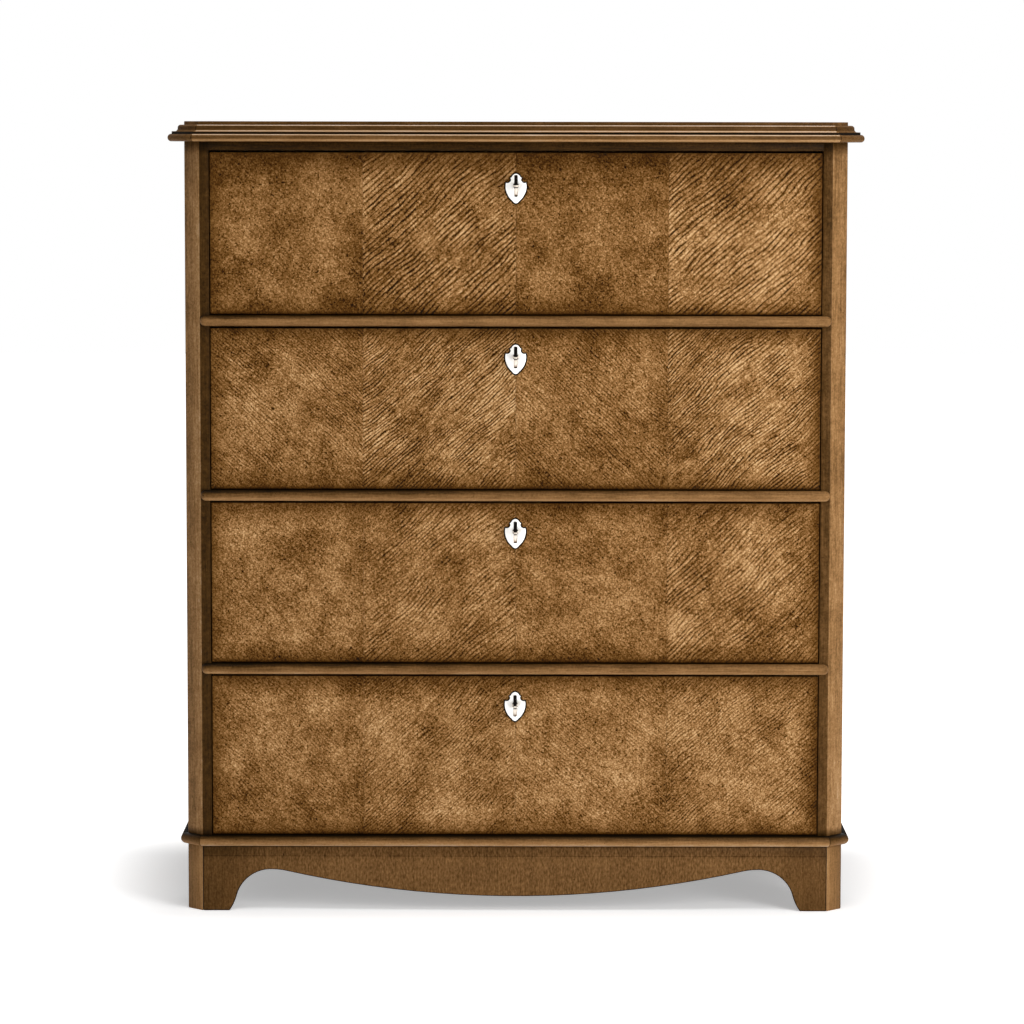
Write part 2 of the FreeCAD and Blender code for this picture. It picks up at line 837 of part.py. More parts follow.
def drawer(number):
    """One drawer, counted from the top, with its lock, bolt, key and escutcheon."""
    level = DRAWERS - number
    floor = bay_floor(level)
    edge = floor + s.slide_clearance
    low = floor + s.drawer_gap_below
    top = low + s.drawer_height
    axis = top - (s.top_key_axis_drop if number == 1 else s.key_axis_drop)
    side_inside = p.front_half - s.drawer_side_thickness
    bottom_low = edge + s.drawer_bottom_rise
    bottom_high = bottom_low + s.drawer_bottom_thickness
    groove_z = (bottom_low, bottom_high)
    bottom_half = side_inside + s.groove_depth
    hole = keyhole(f"keyhole_{number}", axis)
    envelope = lock_envelope(number, axis, top)

    blanks = []
    for sign, side in ((-1, "left"), (1, "right")):
        span = mirrored(sign, side_inside, p.front_half)
        blank = drawer_side_blank(f"side_{side}_{number}", span[0], edge)
        groove = box(f"side_{side}_{number}_groove",
                     mirrored(sign, side_inside - s.overrun, bottom_half),
                     (case_front(), p.drawer_rear + s.overrun), groove_z)
        keep(cut(f"side_{side}_{number}_cut", blank, [groove]), f"drawer_{number}_side_{side}")
        blanks.append(blank)

    front = box(f"front_{number}", (-p.front_half, p.front_half), (p.drawer_face, p.front_inside), (low, top))
    front_groove = box(f"front_{number}_groove", (-bottom_half, bottom_half),
                       (p.front_inside - s.groove_depth, p.front_inside + s.overrun), groove_z)
    keep(cut(f"front_{number}_cut", front, blanks + [front_groove, envelope, hole]), f"drawer_{number}_front")

    back_top = edge + p.drawer_side_height - s.drawer_back_drop
    back = box(f"back_{number}", (-p.front_half, p.front_half),
               (p.drawer_rear - s.drawer_back_thickness, p.drawer_rear), (bottom_high, back_top))
    keep(cut(f"back_{number}_cut", back, blanks), f"drawer_{number}_back")

    keep(box(f"bottom_{number}", (-bottom_half, bottom_half),
             (p.front_inside - s.groove_depth, p.drawer_rear), groove_z), f"drawer_{number}_bottom")
    escutcheon(number, axis, hole)
    lock(number, axis, top, envelope, hole)
    bolt(number, axis, top)
    key(number, axis)


def check_model():
    """Stop if any feature failed or any sub-part has no sound solid."""
    doc.recompute()
    for item in doc.Objects:
        if "Invalid" in item.State or "Error" in item.State:
            raise RuntimeError(f"{item.Name} failed: {item.State}")
    for item in subparts:
        if item.Shape.isNull() or not item.Shape.isValid() or not item.Shape.Solids:
            raise RuntimeError(f"{item.Label} has no sound solid")


def write_parts():
    """One file for each sub-part."""
    os.makedirs("parts", exist_ok=True)
    for item in subparts:
        item.Shape.exportStep(f"parts/{item.Label}.step")
        print(f"{item.Label}: {len(item.Shape.Solids)} solids, {item.Shape.Volume / 1000:.1f} cubic cm")


s = size_sheet()
p = shared_places()
top_board()
top_moulding()
side_panels()
corner_posts()
rails()
rail_beads()
bottom_board()
back_panel()
drawer_runners()
drawer_stops()
base_moulding()
plinth_front()
plinth_sides()
plinth_corners()
plinth_back()
for drawer_number in range(1, DRAWERS + 1):
    drawer(drawer_number)
check_model()
write_parts()
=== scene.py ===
import json
import math

import bmesh
import bpy
from mathutils import Matrix, Vector

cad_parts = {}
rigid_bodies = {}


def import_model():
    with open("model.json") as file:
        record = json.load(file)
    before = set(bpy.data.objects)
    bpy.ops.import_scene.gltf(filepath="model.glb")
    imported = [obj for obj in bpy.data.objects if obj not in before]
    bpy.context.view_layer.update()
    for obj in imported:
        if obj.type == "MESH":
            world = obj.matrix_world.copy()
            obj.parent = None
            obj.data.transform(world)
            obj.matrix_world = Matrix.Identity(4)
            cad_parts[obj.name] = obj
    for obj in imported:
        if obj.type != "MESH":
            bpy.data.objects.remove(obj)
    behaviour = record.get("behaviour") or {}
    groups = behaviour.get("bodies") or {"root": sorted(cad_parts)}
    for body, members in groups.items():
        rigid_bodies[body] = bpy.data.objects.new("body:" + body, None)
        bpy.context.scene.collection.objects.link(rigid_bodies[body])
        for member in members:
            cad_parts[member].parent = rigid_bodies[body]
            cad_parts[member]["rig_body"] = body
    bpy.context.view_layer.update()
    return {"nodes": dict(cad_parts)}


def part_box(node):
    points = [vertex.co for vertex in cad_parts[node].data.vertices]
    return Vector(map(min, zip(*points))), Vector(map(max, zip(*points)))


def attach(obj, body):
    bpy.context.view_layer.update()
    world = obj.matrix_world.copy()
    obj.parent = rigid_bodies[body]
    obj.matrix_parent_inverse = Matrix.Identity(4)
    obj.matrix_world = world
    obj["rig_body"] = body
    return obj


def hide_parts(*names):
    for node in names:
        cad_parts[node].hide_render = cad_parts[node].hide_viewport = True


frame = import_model()
nodes = frame["nodes"]
mm = 0.001
perMetre = 1000.0              # mm
drawerNumbers = (1, 2, 3, 4)   # as in the nodes' names, from the top down
print("frame loaded:", len(nodes), "nodes")


def boxInMm(node):
    low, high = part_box(node)
    return low / mm, high / mm


lowestFront = boxInMm("drawer_4_front")
postBox = boxInMm("corner_post_right")
beadBox = boxInMm("rail_beads")
pitch = boxInMm("drawer_3_front")[0].z - lowestFront[0].z
plan = {
    # heights, widths and depths in mm, read from the frame
    "pitch": pitch,
    "frontLow": lowestFront[0].z,
    "frontHeight": lowestFront[1].z - lowestFront[0].z,
    "frontHalf": lowestFront[1].x,
    "frontFace": lowestFront[0].y,
    "postInner": postBox[0].x,
    "postArris": beadBox[1].x,     # the beads end where the post's cant begins
    "halfWidth": postBox[1].x,
    "postFace": postBox[0].y,
    "backEdge": boxInMm("side_panel_right")[1].y,
    "beadMiddle": (beadBox[0].z + beadBox[1].z) / 2 - pitch,   # of the lowest bead
    "plinthTop": boxInMm("plinth_front")[1].z,
    "baseTop": boxInMm("base_moulding_front")[1].z,
    "carcassTop": boxInMm("frieze_rail")[1].z,
}


# Node trees

def tone(red, green, blue):
    # a colour as a paint chart gives it, 0 to 255, turned to the light it reflects
    def linear(value):
        share = value / 255
        return share / 12.92 if share <= 0.04045 else ((share + 0.055) / 1.055) ** 2.4
    return (linear(red), linear(green), linear(blue), 1)


class Wire:
    # one socket of a node tree; sums and products of wires add their Math nodes
    def __init__(self, tree, socket):
        self.tree = tree
        self.socket = socket

    def math(self, operation, *others):
        return self.tree.node("ShaderNodeMath", {"operation": operation}, [self, *others])

    def __add__(self, other):
        return self.math("ADD", other)

    def __radd__(self, other):
        return self.math("ADD", other)

    def __sub__(self, other):
        return self.math("SUBTRACT", other)

    def __rsub__(self, other):
        return self.tree.node("ShaderNodeMath", {"operation": "SUBTRACT"}, [other, self])

    def __mul__(self, other):
        return self.math("MULTIPLY", other)

    def __rmul__(self, other):
        return self.math("MULTIPLY", other)

    def __truediv__(self, other):
        return self.math("DIVIDE", other)

    def __pow__(self, other):
        return self.math("POWER", other)

    def floor(self):
        return self.math("FLOOR")

    def size(self):
        return self.math("ABSOLUTE")

    def sine(self):
        return self.math("SINE")

    def least(self, other):
        return self.math("MINIMUM", other)

    def most(self, other):
        return self.math("MAXIMUM", other)

    def wrap(self, length):
        return self.math("FLOORED_MODULO", length)

    def above(self, limit):
        return self.math("GREATER_THAN", limit)

    def below(self, limit):
        return self.math("LESS_THAN", limit)

    def ramp(self, low, high):
        # 0 below low, 1 above high, a smooth step between them
        values = {"Value": self, "From Min": low, "From Max": high}
        return self.tree.node("ShaderNodeMapRange", {"interpolation_type": "SMOOTHSTEP"}, values)

    def near(self, middle, reach):
        # 1 at the middle, falling to 0 at the reach on both sides
        return 1 - (self - middle).size().ramp(0, reach)

    def between(self, low, high):
        # turns 0 into low and 1 into high
        return self * (high - low) + low

    def swing(self, strength):
        # turns noise from 0 to 1 into a change up or down
        return (self - 0.5) * strength

    def darker(self, mask, share):
        # loses this share where the mask is 1
        return self * (1 - mask * share)


class Tree:
    # builds the nodes of a material or of a Geometry Nodes tree
    def __init__(self, nodeTree):
        self.nodeTree = nodeTree

    def node(self, kind, settings=None, values=None, output=0):
        made = self.nodeTree.nodes.new(kind)
        for name, setting in (settings or {}).items():
            if name == "stops":
                self.setStops(made.color_ramp, setting)
            else:
                setattr(made, name, setting)
        pairs = values.items() if isinstance(values, dict) else enumerate(values or [])
        for key, value in pairs:
            self.feed(made.inputs[key], value)
        return Wire(self, made.outputs[output])

    def feed(self, socket, value):
        if isinstance(value, Wire):
            self.nodeTree.links.new(value.socket, socket)
        else:
            socket.default_value = value

    def setStops(self, colorRamp, stops):
        while len(colorRamp.elements) < len(stops):
            colorRamp.elements.new(1)
        for element, (place, colour) in zip(colorRamp.elements, stops):
            element.position = place
            element.color = colour

    def also(self, wire, output):
        # another output of the node that a wire comes from
        return Wire(self, wire.socket.node.outputs[output])

    def vector(self, x, y, z=0.0):
        return self.node("ShaderNodeCombineXYZ", None, [x, y, z])

    def parts(self, vector, names):
        # the parts of a vector that are named, such as "XZ"
        split = self.node("ShaderNodeSeparateXYZ", None, [vector])
        return [self.also(split, name) for name in names]

    def noise(self, place, size, detail, roughness, shift=0.0):
        # cloudy noise from 0 to 1; size is the width of one blotch, and shift picks another cloud
        values = {"Vector": place, "Scale": 1 / size, "Detail": detail, "Roughness": roughness, "W": shift}
        return self.node("ShaderNodeTexNoise", {"noise_dimensions": "4D"}, values)


class Finish(Tree):
    # a material with one Principled shader, and the record's slot for the pieces that wear it
    def __init__(self, name, slot=None, **constants):
        self.material = bpy.data.materials.new(name)
        self.material.use_nodes = True
        self.slot = slot
        super().__init__(self.material.node_tree)
        self.shader = self.nodeTree.nodes["Principled BSDF"]
        for socketName, value in constants.items():
            self.shader.inputs[socketName.replace("_", " ")].default_value = value

        # object coordinates in millimetres
        coordinates = self.node("ShaderNodeTexCoord", None, None, "Object")
        scale = {"Vector": coordinates, "Scale": perMetre}
        self.place = self.node("ShaderNodeVectorMath", {"operation": "SCALE"}, scale)
        self.x, self.y, self.z = self.parts(self.place, "XYZ")

    def set(self, socketName, value):
        self.feed(self.shader.inputs[socketName], value)

    def attribute(self, name):
        return self.node("ShaderNodeAttribute", {"attribute_name": name}, None, "Fac")

    def stretch(self, factors):
        return self.node("ShaderNodeVectorMath", {"operation": "MULTIPLY"}, {0: self.place, 1: factors})

    def blend(self, factor, first, second):
        return self.node("ShaderNodeMix", {"data_type": "RGBA"}, {0: factor, 6: first, 7: second}, 2)

    def paint(self, level, tones):
        # level runs from 0, black, to 255, white, and picks a tone between the given ones
        stops = [(place / 255, tone(*colour)) for place, colour in tones]
        return self.node("ShaderNodeValToRGB", {"stops": stops}, {"Fac": level / 255}, "Color")

    def bump(self, height, depth, strength):
        # depth is in millimetres
        values = {"Height": height, "Distance": depth * mm, "Strength": strength}
        self.set("Normal", self.node("ShaderNodeBump", None, values, "Normal"))


# Ridged figure of the veneer, the same rows in its shape and in its colour

ridgeLook = {
    "spacing": (4.4, 5.4, 4.2, 6.3),   # mm from one hollow to the next, lowest drawer first
    "slope": 42.5,            # degrees
    "wander": 30,             # mm, how far the rows bend
    "wanderSize": 130,        # mm, over this length
    "shake": 8,               # mm, how far they shake
    "shakeSize": (45, 12),    # mm, along and across the rows
    "strokeSize": (44, 4.5),  # mm, one stroke of the plough along and across the rows
    "faintStroke": 0.45,      # strength between the strokes
    "patchSize": 52,          # mm, the places with strong or faint rows
    "faintPatch": 0.2,        # strength where the rows are faint
}


def leafSeed(leaf, bay):
    # every leaf has its own figure; leaf counts from the left and bay from the lowest drawer, both from 0
    return leaf * 3.7 + bay * 11.3


def ridgeRows(tree, x, z, rising, spacing, seed):
    # rows climb to the right where rising is 1 and fall where it is -1; x, z and spacing are in mm
    look = ridgeLook
    slope = math.radians(look["slope"])
    across = z * math.cos(slope) - x * rising * math.sin(slope)
    along = x * math.cos(slope) + z * rising * math.sin(slope)

    def stretched(size, shift):
        return tree.noise(tree.vector(along / size[0], across / size[1]), 1, 1, 0.5, seed + shift)

    place = tree.vector(x, z)
    bend = tree.noise(place, look["wanderSize"], 2, 0.5, seed).swing(look["wander"])
    shake = stretched(look["shakeSize"], 4).swing(look["shake"])
    wave = ((across + bend + shake) / spacing * (2 * math.pi)).sine().between(0.5, 1)
    strokes = stretched(look["strokeSize"], 2).ramp(0.3, 0.6).between(look["faintStroke"], 1)
    patches = tree.noise(place, look["patchSize"], 2, 0.5, seed + 8).ramp(0.34, 0.56)
    return wave, patches.between(look["faintPatch"], 1) * strokes, along, across


veneerLook = {
    "tones": [
        (8, (20, 11, 3)), (40, (67, 38, 6)), (60, (90, 57, 18)), (80, (111, 75, 34)), (100, (132, 93, 50)),
        (120, (153, 111, 66)), (140, (174, 131, 84)), (165, (198, 156, 106)), (190, (219, 181, 132)),
    ],
    "gloss": 0.04,
    "level": 112,             # middle brightness, 0 to 255
    "plainLeaves": (3, -6),   # added to it in the lowest drawer, and for each drawer further up
    "ridgedLeaves": (-4, 3),  # added to it, and for each leaf further right
    "marks": {
        # mm wide, strength
        "clouds": (100, 60),
        "shades": (41, 62),
        "mottle": (18, 40),
        "blots": (9, 26),
        "spots": (5, 15),
        "grit": (2.6, 37),
        "dust": (1.8, 168),
    },
    "fibreSize": (40, 2.2),   # mm, along and across the rows
    "fibres": 128,
    "hollows": 84,            # how dark the rows' hollows are
    "crests": 25,             # how light their crests are
    "ridgedRows": (0.62, 0.84, 1.22, 1.12),   # strength of the rows in every second leaf, lowest drawer first
    "plainRows": (0.34, 0.26, 0.52, 0.2),     # and in the plainer leaves
    "fleckSize": 3.0,         # mm
    "fleckFrom": (0.63, 0.76),   # of their noise, the more the rarer
    "flecks": (52, 26),       # how dark they are on clean wood and on a blot
    "blotFrom": (0.35, 0.6),  # of the blots' noise
    "fleckLift": 1.5,         # what the rest is lighter for them
    "joint": 11,              # how dark the painted shade makes a plain leaf towards its right-hand joint
    "jointFrom": 0.8,         # and from which share of its width
    "burnish": 0.4,           # how dark the drawer's edges are
    "burnishWidth": 33,       # mm
    "burnishFall": 1.3,       # power by which it fades inwards
    "wander": 22,             # mm, how far the burnish's border wanders
    "wanderSize": 24,         # mm
    "lowEdge": (0, 6.5),      # painted shade: mm up from the lower edge, where it is darkest and where that ends
    "lowEdgeLeft": 0.6,       # share of the level left there
    "rightEdge": (-4, 19),    # mm in from the right-hand edge
    "rightEdgeLeft": 0.76,
    "underTop": 0.16,         # how much the wood under the top moulding is darker, a painted shadow of the moulding
    "underTopReach": (125, 12),   # mm below the carcass top, where it begins and is full
}


def byDrawer(bay, values):
    # the value that belongs to the drawer counted in bay, 0 for the lowest
    picked = values[0]
    for number in range(1, len(values)):
        picked = bay.above(number - 0.5) * (values[number] - values[number - 1]) + picked
    return picked


def towardsEdge(finish, toEdge, look):
    # 1 at a board's edge and 0 where the burnish ends, with a wandering border; toEdge is in mm
    wander = finish.noise(finish.place, look["wanderSize"], 3, 0.6, 20).swing(look["wander"])
    return 1 - ((toEdge + wander) / look["burnishWidth"]).most(0.0).least(1.0)


def veneerFinish():
    look = veneerLook
    finish = Finish("figured_veneer", "figured_veneer", Specular_IOR_Level=look["gloss"])
    x, z, place = finish.x, finish.z, finish.place
    fromLeft = (x + plan["frontHalf"]) / (plan["frontHalf"] / 2)
    leaf = fromLeft.floor()
    bay = ((z - plan["frontLow"]) / plan["pitch"]).floor()
    seed = leafSeed(leaf, bay)
    ridged = leaf.wrap(2)
    plain = 1 - ridged

    # antiquing clouds, mottling, blots and grit, from a hand's width down to a few millimetres
    first, step = look["plainLeaves"]
    level = plain * (bay * step + first) + look["level"]
    first, step = look["ridgedLeaves"]
    level = ridged * (leaf * step + first) + level
    marks = {}
    for number, (mark, (width, strong)) in enumerate(look["marks"].items()):
        marks[mark] = finish.noise(place, width, 0, 0.5, seed + number * 2.3)
        level = level + marks[mark].swing(strong)

    # rows of the figure, with fibres along them
    spacing = byDrawer(bay, ridgeLook["spacing"])
    wave, strength, along, across = ridgeRows(finish, x, z, ridged * 2 - 1, spacing, seed)
    leafShare = byDrawer(bay, look["ridgedRows"]) * ridged + byDrawer(bay, look["plainRows"]) * plain
    share = strength * leafShare
    long, wide = look["fibreSize"]
    fibres = finish.noise(finish.vector(along / long, across / wide), 1, 1, 0.6, seed)
    level = level - ((1 - wave) ** 5) * share * look["hollows"] + (wave ** 3) * share * look["crests"]
    level = level + fibres.swing(look["fibres"]) * leafShare

    # dark flecks, fainter where the wood is blotched already
    flecks = finish.noise(place, look["fleckSize"], 0, 0.5, seed + 3).ramp(*look["fleckFrom"])
    blots = marks["blots"].ramp(*look["blotFrom"])
    level = level + look["fleckLift"] - flecks * blots.between(*look["flecks"])

    # plain leaves get a painted shade towards their right-hand joint, and every edge of the drawer is
    # burnished
    joint = (fromLeft - leaf).ramp(look["jointFrom"], 1) * plain
    height = (z - plan["frontLow"]).wrap(plan["pitch"])
    toEdge = (plan["frontHalf"] - x.size()).least(height).least(plan["frontHeight"] - height)
    inward = towardsEdge(finish, toEdge, look) ** look["burnishFall"]
    level = (level - joint * look["joint"]).darker(inward, look["burnish"])
    # painted shade along each drawer's lower edge
    level = level * height.ramp(*look["lowEdge"]).between(look["lowEdgeLeft"], 1)
    level = level * (plan["frontHalf"] - x).ramp(*look["rightEdge"]).between(look["rightEdgeLeft"], 1)
    # painted shadow of the top moulding on the top drawer
    start, full = look["underTopReach"]
    level = level.darker(z.ramp(plan["carcassTop"] - start, plan["carcassTop"] - full), look["underTop"])

    finish.set("Base Color", finish.paint(level, look["tones"]))
    finish.set("Roughness", marks["blots"].between(0.42, 0.62))
    finish.bump(fibres * 0.5 + marks["grit"] * 0.5, 0.3, 0.5)
    return finish


# Stained and polished wood

stainLook = {
    "tones": [
        (6, (14, 8, 2)), (30, (45, 27, 4)), (50, (70, 46, 16)), (70, (97, 67, 34)), (90, (121, 87, 50)),
        (110, (146, 107, 65)), (130, (168, 126, 81)), (150, (190, 150, 104)), (180, (210, 184, 160)),
        (220, (240, 232, 226)),
    ],
    "marks": {
        # along the grain or not, mm wide, fine detail, shift, strength
        "streaks": (True, 6, 4, 0, 60),
        "pores": (True, 1.3, 2, 3, 70),
        "clouds": (False, 60, 3, 6, 50),
        "grit": (False, 3, 2, 9, 60),
    },
    "fleckSize": 3.2,         # mm
    "fleckFrom": (0.66, 0.76),   # of their noise
    "flecks": 0.35,           # how much darker they are
    "gloss": 0.05,
}
grainStretch = {"X": (0.05, 1, 1), "Y": (1, 0.05, 1), "Z": (1, 1, 0.05)}


def stainedFinish(name, grain, look, pieceMarks, gloss=stainLook["gloss"]):
    # look has the piece's middle level, 0 to 255, and may have its contrast and what its arrises are lighter,
    # partly wear and partly a painted highlight;
    # pieceMarks(finish, level) adds what is special to it
    stain = stainLook
    finish = Finish(name, "dark_walnut", Specular_IOR_Level=gloss)
    alongGrain = finish.stretch(grainStretch[grain])
    marks = {}
    spread = 0
    for mark, (grained, width, detail, shift, strong) in stain["marks"].items():
        marks[mark] = finish.noise(alongGrain if grained else finish.place, width, detail, 0.6, shift)
        spread = marks[mark].swing(strong) + spread
    flecks = finish.noise(finish.place, stain["fleckSize"], 2, 0.5, 12).ramp(*stain["fleckFrom"])
    level = spread * look.get("contrast", 1.0) + look["level"] - flecks * (look["level"] * stain["flecks"])
    level = pieceMarks(finish, level)
    # eased arrises are lighter, partly wear and partly a painted highlight, or darker where the look's arris
    # is below 0
    if "arris" in look:
        level = level + finish.attribute("arris") * look["arris"]
    finish.set("Base Color", finish.paint(level, stain["tones"]))
    finish.set("Roughness", marks["streaks"] * 0.2 + marks["grit"] * 0.1 + 0.32)
    finish.bump(marks["streaks"] * 0.5 + marks["pores"] * 0.5, 0.25, 0.5)
    return finish


# Numbers ending in Turn say how much a strength falls with each mm to the right of the chest's middle

postLook = {
    "level": 110,
    "contrast": 1.25,
    "arris": 12,
    "levelTurn": 0.01,
    "lightening": 17,             # the foot of the right-hand post is lighter
    "brightHeights": (150, 700),   # mm, fading out between these
    "arrisHalf": 0.4,         # mm, half the width of the turn from the inner face to the cant
    "cant": 12,               # mm of the cant that lighten towards its front arris
    "cantLight": 0.65,        # for each of these mm
    "cantTurn": 0.0014,
    "inner": 0.54,            # how much darker the faces beside the drawers are
    # painted shade: the faces beside the drawers darken more towards the left
    "innerTurn": 0.0002,
    "paintedShade": 22,              # painted shade round the ends of the beads
    "shadeInside": 6,         # mm, how far inside the arris it is thickest
    "shadeSize": (13, 15),    # mm, to the side and up
    "hollow": 12,             # along the drawers' edge
    "hollowAt": (0.4, 2.2),   # mm from the post's inner side, and half its width
    "mottle": 60,
    "mottleSize": 6,          # mm
    "upper": 0.5,             # how much darker it gets under the top moulding, a painted shadow
    "upperReach": 22,         # mm
    "lower": 0.45,            # and over the base moulding
    "lowerReach": 12,         # mm
}


def fromBead(z):
    # height above the middle of the nearest rail bead
    half = plan["pitch"] / 2
    return (z - (plan["beadMiddle"] - half)).wrap(plan["pitch"]) - half


def postMarks(finish, level):
    # dark inner faces beside the drawers, darker towards the left as painted shade, painted shade round the
    # bead ends, light arrises
    look = postLook
    x, z, aside = finish.x, finish.z, finish.x.size()
    onCant = aside.ramp(plan["postArris"] - look["arrisHalf"], plan["postArris"] + look["arrisHalf"])
    lightening = x.ramp(0, 1) * (1 - z.ramp(*look["brightHeights"]))
    cantLight = (plan["postArris"] + look["cant"] - aside).least(look["cant"]) * onCant
    level = level - x * look["levelTurn"] + lightening * look["lightening"]
    level = level + cantLight * (look["cantLight"] - x * look["cantTurn"])
    # the inner faces' own dark stain, with a painted shade that deepens towards the left
    level = level.darker(1 - onCant, look["inner"] - x * look["innerTurn"])
    # painted shade round the ends of the beads
    sideways, upwards = look["shadeSize"]
    paintedShade = fromBead(z).near(0, upwards) * aside.near(plan["postArris"] - look["shadeInside"], sideways)
    out, half = look["hollowAt"]
    hollow = aside.near(plan["postInner"] + out, half)
    mottle = finish.noise(finish.place, look["mottleSize"], 3, 0.65, 41)
    level = level - paintedShade * look["paintedShade"] - hollow * look["hollow"] + mottle.swing(look["mottle"])
    # painted shadow under the top moulding
    upper = z.ramp(plan["carcassTop"] - look["upperReach"], plan["carcassTop"] - 1)
    lower = 1 - z.ramp(plan["baseTop"] + 1, plan["baseTop"] + look["lowerReach"])
    return level.darker(upper, look["upper"]).darker(lower, look["lower"])


beadLook = {
    # heights are in mm from the middle of a bead, which is 16 mm high
    "level": 102,
    "contrast": 0.9,
    "paintedShade": 41,              # painted shade on the upper half
    "shadeHeights": (0.5, 7.5),
    "shadeTurn": 0.065,
    "lightening": 4,              # painted highlight along the lower half
    "brightAt": (-5.0, 4),    # and half its width
    "deep": 50,               # painted shade against the rail
    "deepReach": (0.5, 4),    # mm in front of the posts' faces
    "foot": 34,               # painted highlight on the foot of the two lower beads
    "footHeights": (-7, -2),
    "crown": 14,              # and painted shade on their crown
    "crownHeights": (-4, 2),
    "crownTurn": 0.03,
}


def beadMarks(finish, level):
    # painted shade over the upper half, most at the left, and against the rail; painted highlights along the
    # lower half
    look = beadLook
    x, up = finish.x, fromBead(finish.z)
    deep = 1 - (plan["postFace"] - finish.y).ramp(*look["deepReach"])
    lowerTwo = finish.z.below(plan["beadMiddle"] + plan["pitch"] * 1.5)
    # painted highlight on the lower beads' foot and painted shade on their crown
    foot = (1 - up.ramp(*look["footHeights"])) * look["foot"]
    crown = up.ramp(*look["crownHeights"]) * (look["crown"] - x * look["crownTurn"])
    paintedShade = up.ramp(*look["shadeHeights"]) * (look["paintedShade"] - x * look["shadeTurn"])
    level = level + (foot - crown) * lowerTwo - paintedShade
    return level + up.near(*look["brightAt"]) * look["lightening"] - deep * look["deep"]


mitreLook = {
    "angle": 22.5,            # degrees, half of the cant's 45
    "seam": 0.6,              # how dark the joint is
    "seamReach": 1.4,         # mm
    "cornerFrom": 2,          # mm past the joint where the corner piece's own light is full
}


def mitreMasks(finish):
    # 1 on the corner pieces, past the mitre of the front mouldings; and 1 along the joint itself
    slope = math.tan(math.radians(mitreLook["angle"]))
    past = finish.x.size() - plan["postArris"] - (plan["postFace"] - finish.y) * slope
    return past.ramp(0, mitreLook["cornerFrom"]), past.near(0, mitreLook["seamReach"])


baseLook = {
    # places on it are shares of its height, 0 at the top
    "level": 98,
    "contrast": 0.8,
    "fall": 165,              # painted light: how much lighter it is at its foot than at its top
    "foot": 90,               # painted shadow line where it meets the plinth
    "footReach": 0.09,
    "topReach": 0.12,         # painted black shade on its upper edge
    "corner": 0.25,           # how much darker the corner pieces are, a painted shade
}


def baseMarks(finish, level):
    # painted shade above and painted light below, and painted shade on the corner pieces
    look = baseLook
    down = (plan["baseTop"] - finish.z) / (plan["baseTop"] - plan["plinthTop"])
    corner, seam = mitreMasks(finish)
    level = level + down.swing(look["fall"]) - down.near(1, look["footReach"]) * look["foot"]
    level = level * down.ramp(0, look["topReach"])
    return level.darker(corner, look["corner"]).darker(seam, mitreLook["seam"])


topMouldingLook = {
    # heights are in mm above the carcass
    "level": 68,
    "contrast": 0.7,
    # painted highlight lines: height, half width, strength
    "lines": ((15.3, 1.9, 125), (23.5, 1.3, 140), (10.1, 1.5, 142), (2.0, 3.4, 78)),
    "quirk": (12.1, 3.0, 1.6),   # the painted shadow in the quirk over the bead: height, half width, strength
    "upper": 0.2,             # how much darker the upper members are
    "upperHeights": (13, 16),
    "corner": 0.8,            # how much fainter the lines are on the corner pieces
}


def topMarks(finish, level):
    # a painted shadow in the quirk over the bead, and painted highlight lines along the arrises
    look = topMouldingLook
    up = finish.z - plan["carcassTop"]
    height, reach, strong = look["quirk"]
    quirk = (up.near(height, reach) * strong).least(1)
    lines = sum(up.near(height, reach) * strong for height, reach, strong in look["lines"])
    corner, seam = mitreMasks(finish)
    level = level.darker(quirk, 1).darker(up.ramp(*look["upperHeights"]), look["upper"])
    return (level + lines.darker(corner, look["corner"])).darker(seam, mitreLook["seam"])


topBoardLook = {
    "level": 92,
    "arris": 12,
    "burnish": 0.38,          # how much darker its edges are
    "burnishReach": (-2, 22),   # mm from the edge
    "wander": 16,             # mm, how far the burnish's border wanders
    "wanderSize": 30,         # mm
}


def topBoardMarks(finish, level):
    # burnished round the edges
    look = topBoardLook
    toEdge = (finish.y - plan["postFace"]).least(plan["halfWidth"] - finish.x.size())
    wander = finish.noise(finish.place, look["wanderSize"], 3, 0.6, 20).swing(look["wander"])
    return level.darker(1 - (toEdge + wander).ramp(*look["burnishReach"]), look["burnish"])


plinthLook = {
    "level": 85,
    "contrast": 0.5,
    "arris": -60,
    "under": 13,              # painted shadow under the base moulding
    "underReach": (22, 9),    # mm down, where it ends and is full
    "seam": 20,               # dark seam line in that shadow
    "seamDown": (15, 0.9),    # mm, and half its width
    "feet": 17.5,             # how much darker the feet are
    "feetTurn": 0.0125,
    "feetFrom": (340, 440),   # mm from the middle
    "rays": 88,               # short upright rays in the grain
    "raysOnFeet": 48,
    "raySize": (2.4, 2.4, 6),   # mm
}


def plinthMarks(finish, level):
    # painted shadow and a seam under the base moulding, short upright rays in the grain, and darker feet
    look = plinthLook
    start, full = look["underReach"]
    under = finish.z.ramp(plan["plinthTop"] - start, plan["plinthTop"] - full)
    down, half = look["seamDown"]
    seam = finish.z.near(plan["plinthTop"] - down, half)
    feet = finish.x.size().ramp(*look["feetFrom"])
    rays = finish.noise(finish.stretch([1 / size for size in look["raySize"]]), 1, 1, 0.5, 31)
    level = level - under * look["under"] - seam * look["seam"]
    level = level - feet * (look["feet"] - finish.x * look["feetTurn"])
    return level + rays.swing(feet.between(look["rays"], look["raysOnFeet"]))


plinthCantLook = {
    "level": 108,
    "contrast": 0.8,
    "arris": 12,
    "lightening": 1.6,            # lighter for each mm towards the front
    "middle": 11,             # mm in from the side, where it neither lightens nor darkens
}


def cantMarks(finish, level):
    # the plinth's canted corners are lighter towards the front
    look = plinthCantLook
    return level + (plan["halfWidth"] - look["middle"] - finish.x.size()) * look["lightening"]


